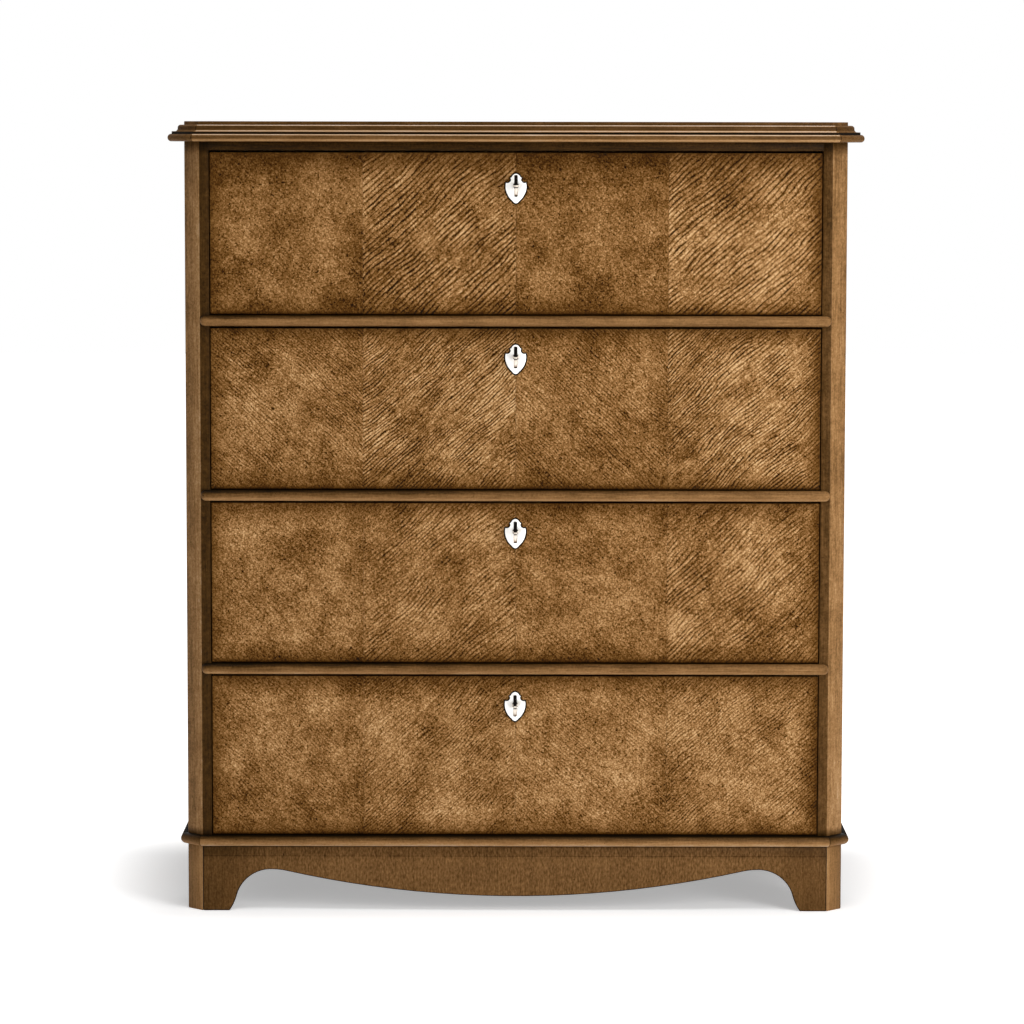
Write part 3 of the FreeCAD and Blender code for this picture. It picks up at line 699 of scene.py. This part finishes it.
# left is the share of the level that the painted black shade leaves, and reach the mm behind the front where
# it ends
frontLook = {"level": 70, "left": 0.1, "reach": (1, 7)}
railLook = {"level": 52, "left": 0.1, "reach": (1, 9)}


def frontMarks(finish, level):
    # painted black shade on the drawer front's edges, just behind the veneer, in the gaps round the drawer
    behind = (finish.y - plan["frontFace"]).ramp(*frontLook["reach"])
    return level * behind.between(frontLook["left"], 1)


def railMarks(finish, level):
    # the rails' front edges are painted black as shade in the gaps
    behind = (finish.y - plan["postFace"]).ramp(*railLook["reach"])
    return level * behind.between(railLook["left"], 1)


# its low level is its dark stain together with a painted shadow of the top moulding above it
friezeLook = {"level": 34, "contrast": 0.8, "ends": 8, "endsFrom": 405}   # mm from the middle


def friezeMarks(finish, level):
    # darker towards the posts
    return level - finish.x.size().ramp(friezeLook["endsFrom"], plan["postInner"]) * friezeLook["ends"]


sideLook = {
    "level": 104,
    "burnish": 0.4,           # how much darker its edges are
    "burnishWidth": 45,       # mm
    "wander": 30,             # mm, how far the burnish's border wanders
    "wanderSize": 30,         # mm
    "frontIn": 20,            # mm from the posts' faces to where the front edge's burnish is full
    "backIn": 1.5,            # mm from the back
    "flames": 9,              # upright flames in the grain
    "flameSize": (42, 260),   # mm wide and high
    "flameCount": 60,
}


def sideMarks(finish, level):
    # flames up the grain, and burnished edges
    look = sideLook
    y, z = finish.y, finish.z
    toEdge = (z - plan["baseTop"]).least(plan["carcassTop"] - z)
    toEdge = toEdge.least(y - plan["postFace"] - look["frontIn"]).least(plan["backEdge"] - look["backIn"] - y)
    wide, high = look["flameSize"]
    figure = finish.noise(finish.vector(y / wide, z / high), 1, 1, 0.4, 33)
    level = level + (figure * look["flameCount"]).sine() * look["flames"]
    return level.darker(towardsEdge(finish, toEdge, look) ** 2, look["burnish"])


# Bare wood inside, and metal

bareLook = {
    "light": tone(214, 182, 138),
    "middle": tone(190, 152, 105),
    "dark": tone(146, 108, 68),
    "gloss": 0.25,
    "ringSize": 14,           # mm
    "ringCount": 46,
    "rings": 0.6,             # how strongly they show
    "fibreSize": 1.3,         # mm
    "fibreFrom": (0.52, 0.78),   # of their noise
    "fibres": 0.5,
    "arris": 0.25,            # how much the eased arrises are darkened by handling
}


def bareFinish(name, grain):
    # planed pale drawer wood, unstained
    look = bareLook
    finish = Finish(name, "plain_wood", Specular_IOR_Level=look["gloss"])
    alongGrain = finish.stretch(grainStretch[grain])
    bands = (finish.noise(alongGrain, look["ringSize"], 3, 0.5) * look["ringCount"]).sine().between(0.5, 1)
    fibres = finish.noise(alongGrain, look["fibreSize"], 3, 0.6, 4)
    colour = finish.blend(bands * look["rings"], look["light"], look["middle"])
    colour = finish.blend(fibres.ramp(*look["fibreFrom"]) * look["fibres"], colour, look["dark"])
    colour = finish.blend(finish.attribute("arris") * look["arris"], colour, look["dark"])
    finish.set("Base Color", colour)
    finish.set("Roughness", fibres.between(0.5, 0.7))
    finish.bump(fibres, 0.2, 0.4)
    return finish


# painted dark reflection and shade on the key's bow and collar
keyReflectionLook = {
    # heights are in mm from the key's axis
    "colour": tone(16, 11, 9),
    "dull": 0.4,              # how much rougher it is than the metal
    "bow": (0.4, 1.4),        # black from here up
    "foot": (-13.9, -13.3),   # and from here down
    "collar": -2.2,
    "collarReach": 1.8,
    "collarShare": 0.9,
}


def keyPaintedReflection(finish):
    # painted dark reflection on the upper half of the bow, and painted shade at its lower end and on the
    # collar
    look = keyReflectionLook
    up = finish.attribute("fromAxis")
    collar = up.near(look["collar"], look["collarReach"]) * look["collarShare"]
    return up.ramp(*look["bow"]).most(1 - up.ramp(*look["foot"])).most(collar)


metalLooks = {
    # slot, colour, worn colour, roughness, brushed grain, how metallic, gloss where it isn't metal
    "pale_plate": ("pale_brass", tone(252, 250, 246), tone(222, 215, 200), 0.4, 0.3, 0.6, 0.5),
    "key_metal": ("pale_brass", tone(214, 203, 190), tone(168, 156, 140), 0.36, 0.25, 1.0, 0.05),
    "lock_brass": ("lock_brass", tone(206, 172, 98), tone(140, 106, 52), 0.34, 0.5, 1.0, 0.5),
    "bolt_steel": ("lock_steel", tone(176, 176, 180), tone(112, 110, 108), 0.36, 0.5, 1.0, 0.5),
    "screw_steel": ("lock_steel", tone(150, 148, 146), tone(88, 84, 78), 0.4, 0.4, 1.0, 0.5),
}


metalGrain = {
    "tarnishSize": 9,         # mm
    "tarnishFrom": (0.45, 0.75),   # of its noise
    "tarnish": 0.5,           # how far it turns the colour to the worn one
    "brushSize": 0.5,         # mm across the brushed lines
    "brushStretch": (1, 1, 0.08),
}


def metalFinish(name):
    slot, fresh, worn, rough, grain, metallic, gloss = metalLooks[name]
    finish = Finish(name, slot, Metallic=metallic, Specular_IOR_Level=gloss)
    look = metalGrain
    tarnish = finish.noise(finish.place, look["tarnishSize"], 4, 0.6)
    brushed = finish.noise(finish.stretch(look["brushStretch"]), look["brushSize"], 2, 0.5, 2)
    colour = finish.blend(tarnish.ramp(*look["tarnishFrom"]) * look["tarnish"], fresh, worn)
    roughness = tarnish * grain * 0.3 + brushed * grain * 0.2 + rough - 0.08
    if name == "key_metal":
        # painted dark reflection and shade on the key
        black = keyPaintedReflection(finish)
        colour = finish.blend(black, colour, keyReflectionLook["colour"])
        roughness = roughness + black * keyReflectionLook["dull"]
        finish.set("Metallic", 1 - black)
    finish.set("Base Color", colour)
    finish.set("Roughness", roughness)
    finish.bump(brushed, 0.04, 0.3)
    return finish


returnGloss = 0.01   # of the mouldings along the sides, which the right-hand lamp would whiten

finishes = {
    "veneer": veneerFinish(),
    "front": stainedFinish("stained_front", "X", frontLook, frontMarks),
    "post": stainedFinish("stained_post", "Z", postLook, postMarks),
    "side": stainedFinish("stained_side", "Z", sideLook, sideMarks),
    "top": stainedFinish("stained_top", "X", topBoardLook, topBoardMarks),
    "rail": stainedFinish("stained_rail", "X", railLook, railMarks),
    "bead": stainedFinish("stained_bead", "X", beadLook, beadMarks),
    "frieze": stainedFinish("stained_frieze", "X", friezeLook, friezeMarks),
    "topMoulding": stainedFinish("stained_top_moulding", "X", topMouldingLook, topMarks),
    "topReturn": stainedFinish("stained_top_return", "Y", topMouldingLook, topMarks, returnGloss),
    "baseMoulding": stainedFinish("stained_base_moulding", "X", baseLook, baseMarks),
    "baseReturn": stainedFinish("stained_base_return", "Y", baseLook, baseMarks, returnGloss),
    "plinth": stainedFinish("stained_plinth", "Z", plinthLook, plinthMarks),
    "plinthCant": stainedFinish("stained_plinth_cant", "Z", plinthCantLook, cantMarks),
    "bareX": bareFinish("bare_across", "X"),
    "bareY": bareFinish("bare_along_depth", "Y"),
    "bareZ": bareFinish("bare_upright", "Z"),
}
for metal in metalLooks:
    finishes[metal] = metalFinish(metal)
print("finishes made:", len(finishes))


# Pieces

def addObject(name, data):
    added = bpy.data.objects.new(name, data)
    bpy.context.scene.collection.objects.link(added)
    return added


def workOn(mesh):
    work = bmesh.new()
    work.from_mesh(mesh)
    return work


def keep(work, mesh):
    work.to_mesh(mesh)
    work.free()


def meshOf(work, name):
    mesh = bpy.data.meshes.new(name)
    keep(work, mesh)
    return mesh


def addPiece(name, mesh, finish, body):
    piece = addObject(name, mesh)
    mesh.materials.clear()
    mesh.materials.append(finish.material)
    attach(piece, body)
    return piece


def meshWith(holder):
    # the mesh of an object with its modifiers, as a plain mesh; the object goes
    result = bpy.data.meshes.new_from_object(holder.evaluated_get(bpy.context.evaluated_depsgraph_get()))
    bpy.data.objects.remove(holder)
    return result


easing = {
    "weld": 0.01,             # mm, triangle corners nearer than this become one
    "flat": 0.5,              # degrees, triangles that meet flatter than this become one face
    "outward": 32,            # degrees, an edge that turns outwards by more than this is eased
    "crisp": 25,              # degrees, and an edge sharper than this isn't shaded smooth
    "steps": 2,               # faces across an eased arris
}


def cleanCopy(node):
    # a copy of a CAD node, whose own mesh is loose triangles, with its faces whole
    work = workOn(nodes[node].data)
    bmesh.ops.remove_doubles(work, verts=work.verts, dist=easing["weld"] * mm)
    flat = math.radians(easing["flat"])
    bmesh.ops.dissolve_limit(work, angle_limit=flat, verts=work.verts, edges=work.edges)
    return work


def smoothByAngle(mesh):
    # round surfaces shade smooth, and sharp edges stay crisp
    limit = math.radians(easing["crisp"])
    work = workOn(mesh)
    for face in work.faces:
        face.smooth = True
    for edge in work.edges:
        edge.smooth = len(edge.link_faces) == 2 and edge.calc_face_angle(0) < limit
    keep(work, mesh)


def softened(node, width, finish, change=None):
    # a copy of a CAD piece with its outward arrises eased by hand; the eased faces are marked "arris"
    name = node + "_eased"
    work = cleanCopy(node)
    if change:
        change(work)
    weights = work.edges.layers.float.new("bevel_weight_edge")
    limit = math.radians(easing["outward"])
    for edge in work.edges:
        outward = len(edge.link_faces) == 2 and edge.calc_face_angle_signed(0) > limit
        edge[weights] = 1.0 if outward else 0.0
    holder = addObject(name, meshOf(work, name))
    for kind in ("wood", "eased"):
        holder.data.materials.append(bpy.data.materials.get(kind) or bpy.data.materials.new(kind))
    bevel = holder.modifiers.new("easing", "BEVEL")
    bevel.width = width
    bevel.segments = easing["steps"]
    bevel.limit_method = "WEIGHT"
    bevel.material = 1
    result = meshWith(holder)
    result.name = name
    mark = result.attributes.new("arris", "FLOAT", "FACE")
    for polygon in result.polygons:
        mark.data[polygon.index].value = float(polygon.material_index == 1)
        polygon.material_index = 0
    smoothByAngle(result)
    piece = addPiece(name, result, finish, nodes[node]["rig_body"])
    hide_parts(node)
    return piece


woodPieces = {
    # node: finish, how far its arrises are eased in mm
    "top_board": ("top", 0.9),
    "top_moulding_front": ("topMoulding", 0.5),
    "top_moulding_corners": ("topMoulding", 0.5),
    "top_moulding_sides": ("topReturn", 0.5),
    "side_panel_left": ("side", 0.6),
    "side_panel_right": ("side", 0.6),
    "corner_post_left": ("post", 0.9),
    "corner_post_right": ("post", 0.9),
    "frieze_rail": ("frieze", 0.4),
    "drawer_rail_1": ("rail", 0.4),
    "drawer_rail_2": ("rail", 0.4),
    "drawer_rail_3": ("rail", 0.4),
    "rail_beads": ("bead", 0.3),
    "bottom_board": ("rail", 0.4),
    "drawer_runners": ("bareY", 0.6),
    "drawer_stops": ("bareX", 0.5),
    "base_moulding_front": ("baseMoulding", 0.4),
    "base_moulding_corners": ("baseMoulding", 0.4),
    "base_moulding_sides": ("baseReturn", 0.4),
    "plinth_front": ("plinth", 1.3),
    "plinth_sides": ("plinth", 1.3),
    "plinth_corners": ("plinthCant", 0.8),
    "plinth_back": ("plinth", 0.8),
}
for node, (finish, eased) in woodPieces.items():
    softened(node, eased * mm, finishes[finish])

backLook = {"sunk": 0.6, "eased": 0.4, "faceDepth": 0.1}   # mm


def sinkBack(work):
    # the back lies a shade below the side panels' edges, so that its nail heads don't stand out
    outer = max(vertex.co.y for vertex in work.verts)
    for vertex in work.verts:
        if vertex.co.y > outer - backLook["faceDepth"] * mm:
            vertex.co.y -= backLook["sunk"] * mm


softened("back_panel", backLook["eased"] * mm, finishes["bareZ"], sinkBack)
print("carcass pieces eased")

drawerPieces = {
    # part of each drawer: finish, how far its arrises are eased in mm
    "front": ("front", 0.6),
    "side_left": ("bareY", 0.5),
    "side_right": ("bareY", 0.5),
    "back": ("bareX", 0.5),
    "bottom": ("bareX", 0.3),
    "escutcheon": ("pale_plate", 0.4),
    "lock": ("lock_brass", 0.25),
    "bolt": ("bolt_steel", 0.4),
    "key": ("key_metal", 0.3),
}


def markHeights(key, node):
    # gives every point of a key its height from the key's axis in mm, for its painted dark reflection and
    # shade
    low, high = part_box(node)
    axis = (low.z + high.z) / 2
    fromAxis = key.data.attributes.new("fromAxis", "FLOAT", "POINT")
    for vertex in key.data.vertices:
        fromAxis.data[vertex.index].value = (vertex.co.z - axis) / mm


for number in drawerNumbers:
    for part, (finish, eased) in drawerPieces.items():
        node = f"drawer_{number}_{part}"
        piece = softened(node, eased * mm, finishes[finish])
        if part == "key":
            markHeights(piece, node)
print("drawer pieces eased")


# Relief veneer: four leaves on every drawer front

leafSizes = {
    "thickness": 0.9,         # mm
    "ridgeDepth": 0.34,       # mm, where the rows' strength is 1
    "cellRidged": 1.3,        # mm
    "cellPlain": 1.8,         # mm
    "notchHalf": 4.6,         # mm, keyhole cut out of the two middle leaves, under the shield
    "notchUp": 5.0,           # mm from the key's axis
    "notchDown": 13.0,
    "weld": 0.001,            # mm, points nearer than this become one
    "perDrawer": 4,
}


class ShapeTree(Tree):
    # a Geometry Nodes tree with named inputs, each given by its first value or by its kind alone
    kinds = {float: "NodeSocketFloat", int: "NodeSocketInt"}

    def __init__(self, name, sockets):
        group = bpy.data.node_groups.new(name, "GeometryNodeTree")
        super().__init__(group)
        group.interface.new_socket("Geometry", in_out="OUTPUT", socket_type="NodeSocketGeometry")
        self.identifiers = {}
        for inputName, value in sockets.items():
            kind = self.kinds.get(type(value), value)
            socket = group.interface.new_socket(inputName, in_out="INPUT", socket_type=kind)
            if kind != value:
                socket.default_value = value
            self.identifiers[inputName] = socket.identifier
        self.inputNode = group.nodes.new("NodeGroupInput")

    def inputs(self, *names):
        return [Wire(self, self.inputNode.outputs[name]) for name in names]

    def finishWith(self, geometry, material):
        real = self.node("GeometryNodeRealizeInstances", None, [geometry])
        painted = self.node("GeometryNodeSetMaterial", None, {"Geometry": real, "Material": material})
        output = self.nodeTree.nodes.new("NodeGroupOutput")
        self.nodeTree.links.new(painted.socket, output.inputs[0])

    def mesh(self, name, values):
        # runs the tree once and returns its result as a plain mesh
        holder = addObject(name, bpy.data.meshes.new(name))
        modifier = holder.modifiers.new("shape", "NODES")
        modifier.node_group = self.nodeTree
        for inputName, value in values.items():
            modifier[self.identifiers[inputName]] = value
        bpy.context.view_layer.update()
        result = meshWith(holder)
        result.name = name
        return result


def leafTree():
    # a thin sheet facing -Y, laid at its place, whose face is ploughed by the rows of the figure
    tree = ShapeTree("ridged_leaf", {
        # metres, apart from Spacing, which is in mm as the rows are
        "Left": -0.22, "Low": 0.1, "Face": -0.216, "Width": 0.22, "Height": 0.23, "Thickness": 0.0009,
        "Cell": 0.0015, "Axis": 0.3, "Depth": 0.0003, "Rising": 1.0, "Spacing": 6.5, "Seed": 0.0,
    })
    left, low, face, width, height, cell = tree.inputs("Left", "Low", "Face", "Width", "Height", "Cell")
    grid = tree.node("GeometryNodeMeshGrid", None, {
        "Size X": width, "Size Y": height,
        "Vertices X": (width / cell).floor(), "Vertices Y": (height / cell).floor(),
    })
    middle = tree.vector(left + width * 0.5, face, low + height * 0.5)
    upright = tree.node("GeometryNodeTransform", None,
                        {"Geometry": grid, "Translation": middle, "Rotation": (math.pi / 2, 0, 0)})
    x, z = tree.parts(tree.node("GeometryNodeInputPosition"), "XZ")

    # faces over the keyhole go
    depth, thickness, axis = tree.inputs("Depth", "Thickness", "Axis")
    up = (z - axis) * perMetre
    inNotch = (x * perMetre).size().below(leafSizes["notchHalf"])
    inNotch = inNotch * up.below(leafSizes["notchUp"]) * up.above(-leafSizes["notchDown"])
    notched = tree.node("GeometryNodeDeleteGeometry", {"domain": "FACE"},
                        {"Geometry": upright, "Selection": inNotch})

    # the face is ploughed, and its border is drawn back to a flat one
    rising, spacing, seed = tree.inputs("Rising", "Spacing", "Seed")
    wave, strength = ridgeRows(tree, x * perMetre, z * perMetre, rising, spacing, seed)[:2]
    offset = tree.vector(0.0, (1 - wave) * strength * depth - thickness)
    ploughed = tree.node("GeometryNodeSetPosition", None, {"Geometry": notched, "Offset": offset})
    smooth = tree.node("GeometryNodeSetShadeSmooth", None, {"Geometry": ploughed, "Shade Smooth": True})
    neighbours = tree.node("GeometryNodeInputMeshEdgeNeighbors")
    border = tree.node("FunctionNodeCompare", {"data_type": "INT", "operation": "EQUAL"},
                       {2: neighbours, 3: 1})
    rim = tree.node("GeometryNodeExtrudeMesh", {"mode": "EDGES"},
                    {"Mesh": smooth, "Selection": border, "Offset": (0, 1, 0), "Offset Scale": mm})
    laidX, laidZ = tree.parts(tree.node("GeometryNodeInputPosition"), "XZ")
    flat = {"Geometry": rim, "Selection": tree.also(rim, "Top"), "Position": tree.vector(laidX, face, laidZ)}
    tree.finishWith(tree.node("GeometryNodeSetPosition", None, flat), finishes["veneer"].material)
    return tree


def closeBack(mesh):
    # fills the open back of a leaf and turns every face outwards
    work = workOn(mesh)
    bmesh.ops.remove_doubles(work, verts=work.verts, dist=leafSizes["weld"] * mm)
    bmesh.ops.holes_fill(work, edges=[edge for edge in work.edges if edge.is_boundary], sides=0)
    bmesh.ops.recalc_face_normals(work, faces=work.faces)
    for face in work.faces:
        face.smooth = face.normal.y < -0.5
    openEdges = sum(edge.is_boundary for edge in work.edges)
    keep(work, mesh)
    return openEdges


def layVeneer():
    tree = leafTree()
    openEdges = 0
    for number in drawerNumbers:
        low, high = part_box(f"drawer_{number}_front")
        keyLow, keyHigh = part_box(f"drawer_{number}_key")
        leafWidth = (high.x - low.x) / leafSizes["perDrawer"]
        bay = len(drawerNumbers) - number
        for leaf in range(leafSizes["perDrawer"]):
            name = f"veneer_{number}_{leaf + 1}"
            cell, rows = ("cellRidged", "ridgedRows") if leaf % 2 else ("cellPlain", "plainRows")
            mesh = tree.mesh(name, {
                "Left": low.x + leafWidth * leaf,
                "Low": low.z,
                "Face": low.y,
                "Width": leafWidth,
                "Height": high.z - low.z,
                "Cell": leafSizes[cell] * mm,
                "Rising": 1.0 if leaf % 2 else -1.0,
                "Depth": leafSizes["ridgeDepth"] * mm * veneerLook[rows][bay],
                "Thickness": leafSizes["thickness"] * mm,
                "Axis": (keyLow.z + keyHigh.z) / 2,
                "Spacing": ridgeLook["spacing"][bay],
                "Seed": leafSeed(leaf, bay),
            })
            openEdges += closeBack(mesh)
            addPiece(name, mesh, finishes["veneer"], f"drawer_{number}")
    print("veneer laid, open edges left:", openEdges)


layVeneer()


# A dark ring round the shields

darkRingLook = {
    "dark": tone(8, 4, 2),
    "light": tone(30, 18, 7),
    "speckSize": 2.2,         # mm
    "reach": 2.0,             # mm past the shield's outline
    "thickness": 0.35,        # mm
    "proud": 0.12,            # mm of it that stand on the veneer
    "holeHalf": 6,            # mm, a point nearer to the middle than this
    "holeEnds": 9,            # mm, and further than this from the shield's ends, is the keyhole's
}


def darkRingFinish():
    finish = Finish("dark_wax", "dark_walnut", Specular_IOR_Level=0.03)
    specks = finish.noise(finish.place, darkRingLook["speckSize"], 3, 0.6)
    finish.set("Base Color", finish.blend(specks, darkRingLook["dark"], darkRingLook["light"]))
    finish.set("Roughness", specks.between(0.5, 0.8))
    finish.bump(specks, 0.2, 0.5)
    return finish


def outwardSide(vertex):
    # which way a point of an upright outline faces, or nothing on a flat face
    sides = [face.normal for face in vertex.link_faces if abs(face.normal.y) < 0.5]
    outward = Vector((sum(normal.x for normal in sides), 0, sum(normal.z for normal in sides)))
    return outward.normalized() if outward.length > 0.001 else Vector()


def addDarkRing():
    # a flat copy of each shield, spread outwards and lying on the veneer under it
    look = darkRingLook
    shieldRing = darkRingFinish()
    holeEnds = look["holeEnds"] * mm
    for number in drawerNumbers:
        shield = f"drawer_{number}_escutcheon"
        low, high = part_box(shield)
        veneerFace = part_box(f"drawer_{number}_front")[0].y - leafSizes["thickness"] * mm
        work = cleanCopy(shield)
        outwards = [(vertex, outwardSide(vertex)) for vertex in work.verts]
        for vertex, outward in outwards:
            inHeight = low.z + holeEnds < vertex.co.z < high.z - holeEnds
            if not (inHeight and abs(vertex.co.x) < look["holeHalf"] * mm):
                vertex.co += outward * look["reach"] * mm
            isFront = vertex.co.y < (low.y + high.y) / 2
            sunk = -look["proud"] if isFront else look["thickness"] - look["proud"]
            vertex.co.y = veneerFace + sunk * mm
        bmesh.ops.recalc_face_normals(work, faces=work.faces)
        mesh = meshOf(work, f"wax_{number}")
        smoothByAngle(mesh)
        addPiece(f"wax_{number}", mesh, shieldRing, f"drawer_{number}")
    print("wax laid round the shields")


addDarkRing()


# Nails and screws

headShape = {
    "steps": 7,               # faces round each half
    "crown": 0.8,             # width of the crown, as a share of the foot's
    "disc": 0.98,             # and of the disc under it
    "discHeight": 0.5,        # as a share of the head's height
    "discSides": 14,
}
fixingSizes = {
    # mm, and how many heads go round a rectangle
    "case_screw": {"radius": 2.4, "height": 0.7, "slot": 0.35, "count": 4},
    "back_nail": {"radius": 1.6, "height": 0.4, "slot": 0.16, "count": 28},
}
nailInset = 9   # mm from the back's edges
screwSpots = {"width": 48, "height": 34, "middle": 26}   # mm, the middle is above the case's foot


def hiddenHead(name):
    # a low round head in two halves with the slot between them, on a disc; only its copies are shown
    radius, height, slot = (fixingSizes[name][size] * mm for size in ("radius", "height", "slot"))
    steps, crownShare = headShape["steps"], headShape["crown"]
    start = math.asin(slot / radius)
    work = bmesh.new()
    for turn in (0, math.pi):
        angles = [start + (math.pi - 2 * start) * step / steps + turn for step in range(steps + 1)]
        outer = [Vector((math.cos(angle), math.sin(angle), 0)) * radius for angle in angles]
        inner = [point * crownShare for point in outer]
        for point in inner:
            point.y += math.copysign(slot * (1 - crownShare), point.y)
            point.z = height
        foot = [work.verts.new(point) for point in outer]
        crown = [work.verts.new(point) for point in inner]
        work.faces.new(foot)
        work.faces.new(crown)
        for step in range(steps + 1):
            following = (step + 1) % (steps + 1)
            work.faces.new((foot[step], foot[following], crown[following], crown[step]))
    bmesh.ops.recalc_face_normals(work, faces=work.faces)
    discRadius = radius * headShape["disc"]
    bmesh.ops.create_cone(work, cap_ends=True, segments=headShape["discSides"], radius1=discRadius,
                          radius2=discRadius, depth=height * headShape["discHeight"])
    return addObject(name, meshOf(work, name))


def fixingTree():
    # heads set round a rectangle, each turned by a chance that is the same at every run
    tree = ShapeTree("set_fixings", {
        "Width": 0.05, "Height": 0.02, "Count": 4, "Seed": 3, "Head": "NodeSocketObject",
        "Place": "NodeSocketVector", "Turn": "NodeSocketVector", "Material": "NodeSocketMaterial",
    })
    width, height, count, seed = tree.inputs("Width", "Height", "Count", "Seed")
    head, place, turn, material = tree.inputs("Head", "Place", "Turn", "Material")
    outline = tree.node("GeometryNodeCurvePrimitiveQuadrilateral", {"mode": "RECTANGLE"},
                        {"Width": width, "Height": height})
    spots = tree.node("GeometryNodeCurveToPoints", {"mode": "COUNT"}, {"Curve": outline, "Count": count})
    shape = tree.node("GeometryNodeObjectInfo", None, {"Object": head}, "Geometry")
    chance = tree.node("FunctionNodeRandomValue", {"data_type": "FLOAT"},
                       {"Min": 0.0, "Max": 3.1, "Seed": seed}, 1)
    heads = tree.node("GeometryNodeInstanceOnPoints", None,
                      {"Points": spots, "Instance": shape, "Rotation": tree.vector(0.0, 0.0, chance)})
    placed = tree.node("GeometryNodeTransform", None,
                       {"Geometry": heads, "Translation": place, "Rotation": turn})
    tree.finishWith(placed, material)
    return tree


def setHeads(tree, name, kind, head, body, width, height, middle):
    # heads of one kind round an upright rectangle that faces the back
    steel = finishes["screw_steel"]
    mesh = tree.mesh(name, {
        "Head": head, "Width": width, "Height": height, "Count": fixingSizes[kind]["count"],
        "Place": middle, "Turn": (-math.pi / 2, 0, 0), "Material": steel.material,
    })
    addPiece(name, mesh, steel, body)


def addFixings():
    tree = fixingTree()
    screw, nail = hiddenHead("case_screw"), hiddenHead("back_nail")
    low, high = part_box("back_panel")
    middle = Vector(((low.x + high.x) / 2, high.y - backLook["sunk"] * mm, (low.z + high.z) / 2))
    width, height = (side - 2 * nailInset * mm for side in (high.x - low.x, high.z - low.z))
    setHeads(tree, "back_nails", "back_nail", nail, "carcass", width, height, middle)
    width, height, up = (screwSpots[size] * mm for size in ("width", "height", "middle"))
    for number in drawerNumbers:
        low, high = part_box(f"drawer_{number}_lock")
        name, body = f"lock_screws_{number}", f"drawer_{number}"
        setHeads(tree, name, "case_screw", screw, body, width, height, Vector((0, high.y, low.z + up)))
    for head in (screw, nail):
        bpy.data.objects.remove(head)
    print("nails and screws set")


addFixings()


# Camera, floor and lights

viewSizes = {
    "lens": 142.6,            # mm
    "sensor": 36,             # mm
    "distance": 5849,         # mm from the posts' faces
    "height": 1150,           # mm, level with the top of the chest
    "pitch": 5.506,           # degrees down
    "roll": 0.1,              # degrees
    "sideStep": -4.9,         # mm
    "farthest": 60,           # m
}


def setCamera():
    data = bpy.data.cameras.new("camera")
    data.lens = viewSizes["lens"]
    data.sensor_fit = "HORIZONTAL"
    data.sensor_width = viewSizes["sensor"]
    data.clip_end = viewSizes["farthest"]
    camera = addObject("camera", data)
    turn = Matrix.Rotation(math.radians(90 - viewSizes["pitch"]), 4, "X")
    roll = Matrix.Rotation(math.radians(viewSizes["roll"]), 4, "Z")
    spot = Vector((viewSizes["sideStep"], plan["postFace"] - viewSizes["distance"], viewSizes["height"])) * mm
    camera.matrix_world = Matrix.Translation(spot) @ turn @ roll
    bpy.context.scene.camera = camera


def whiteToEye(tree):
    # 1 where the camera, a mirror or glass looks, 0 for the light that falls on things
    camera = tree.node("ShaderNodeLightPath", None, None, "Is Camera Ray")
    return camera.most(tree.also(camera, "Is Glossy Ray")).most(tree.also(camera, "Is Transmission Ray"))


floorLook = {
    "colour": tone(238, 238, 238),
    "halfSize": 14.0,         # m
    "glow": 0.375,            # white that it shows by itself beside the chest
    "whiteAt": 260,           # mm from the chest where it shows as white
}


def layFloor():
    # plain pale floor; seen from the camera it whitens with distance, so that no horizon shows
    half = floorLook["halfSize"]
    mesh = bpy.data.meshes.new("floor")
    corners = [(-half, -half, 0), (half, -half, 0), (half, half, 0), (-half, half, 0)]
    mesh.from_pydata(corners, [], [(0, 1, 2, 3)])
    finish = Finish("floor_paint", Roughness=0.9, Specular_IOR_Level=0.0, Emission_Strength=1.0)
    aside = (finish.x.size() - plan["halfWidth"]).most(0.0)
    behind = (finish.y.size() + plan["postFace"]).most(0.0)
    away = ((aside * aside + behind * behind) ** 0.5).ramp(0, floorLook["whiteAt"])
    glow = away.between(floorLook["glow"], 1) * whiteToEye(finish)
    finish.set("Base Color", floorLook["colour"])
    finish.set("Emission Color", finish.blend(glow, tone(0, 0, 0), tone(255, 255, 255)))
    mesh.materials.append(finish.material)
    addObject("floor", mesh)


worldLight = 0.3   # strength of the white light from all round


def setWorld():
    world = bpy.data.worlds.new("studio")
    world.use_nodes = True
    bpy.context.scene.world = world
    tree = Tree(world.node_tree)
    background = world.node_tree.nodes["Background"]
    background.inputs["Color"].default_value = tone(255, 255, 255)
    tree.feed(background.inputs["Strength"], whiteToEye(tree).between(worldLight, 1))


lamps = {
    # name: place, width and height in metres, watts
    "rightWindow": ((2.05, -2.7, 1.3), (1.3, 1.9), 60),
    "overhead": ((0.6, -1.6, 4.3), (2.6, 1.4), 66),
    "leftFill": ((-3.0, -3.8, 0.7), (1.6, 1.4), 12),
}
lampAim = Vector((0, 0, 0.6))   # metres, the middle of the chest


def setLamps():
    for name, (place, size, power) in lamps.items():
        data = bpy.data.lights.new(name, "AREA")
        data.shape = "RECTANGLE"
        data.size, data.size_y = size
        data.energy = power
        lamp = addObject(name, data)
        lamp.location = place
        lamp.rotation_euler = (lampAim - Vector(place)).to_track_quat("-Z", "Y").to_euler()


setCamera()
layFloor()
setWorld()
setLamps()
bpy.context.scene.view_settings.view_transform = "Standard"
print("studio set")
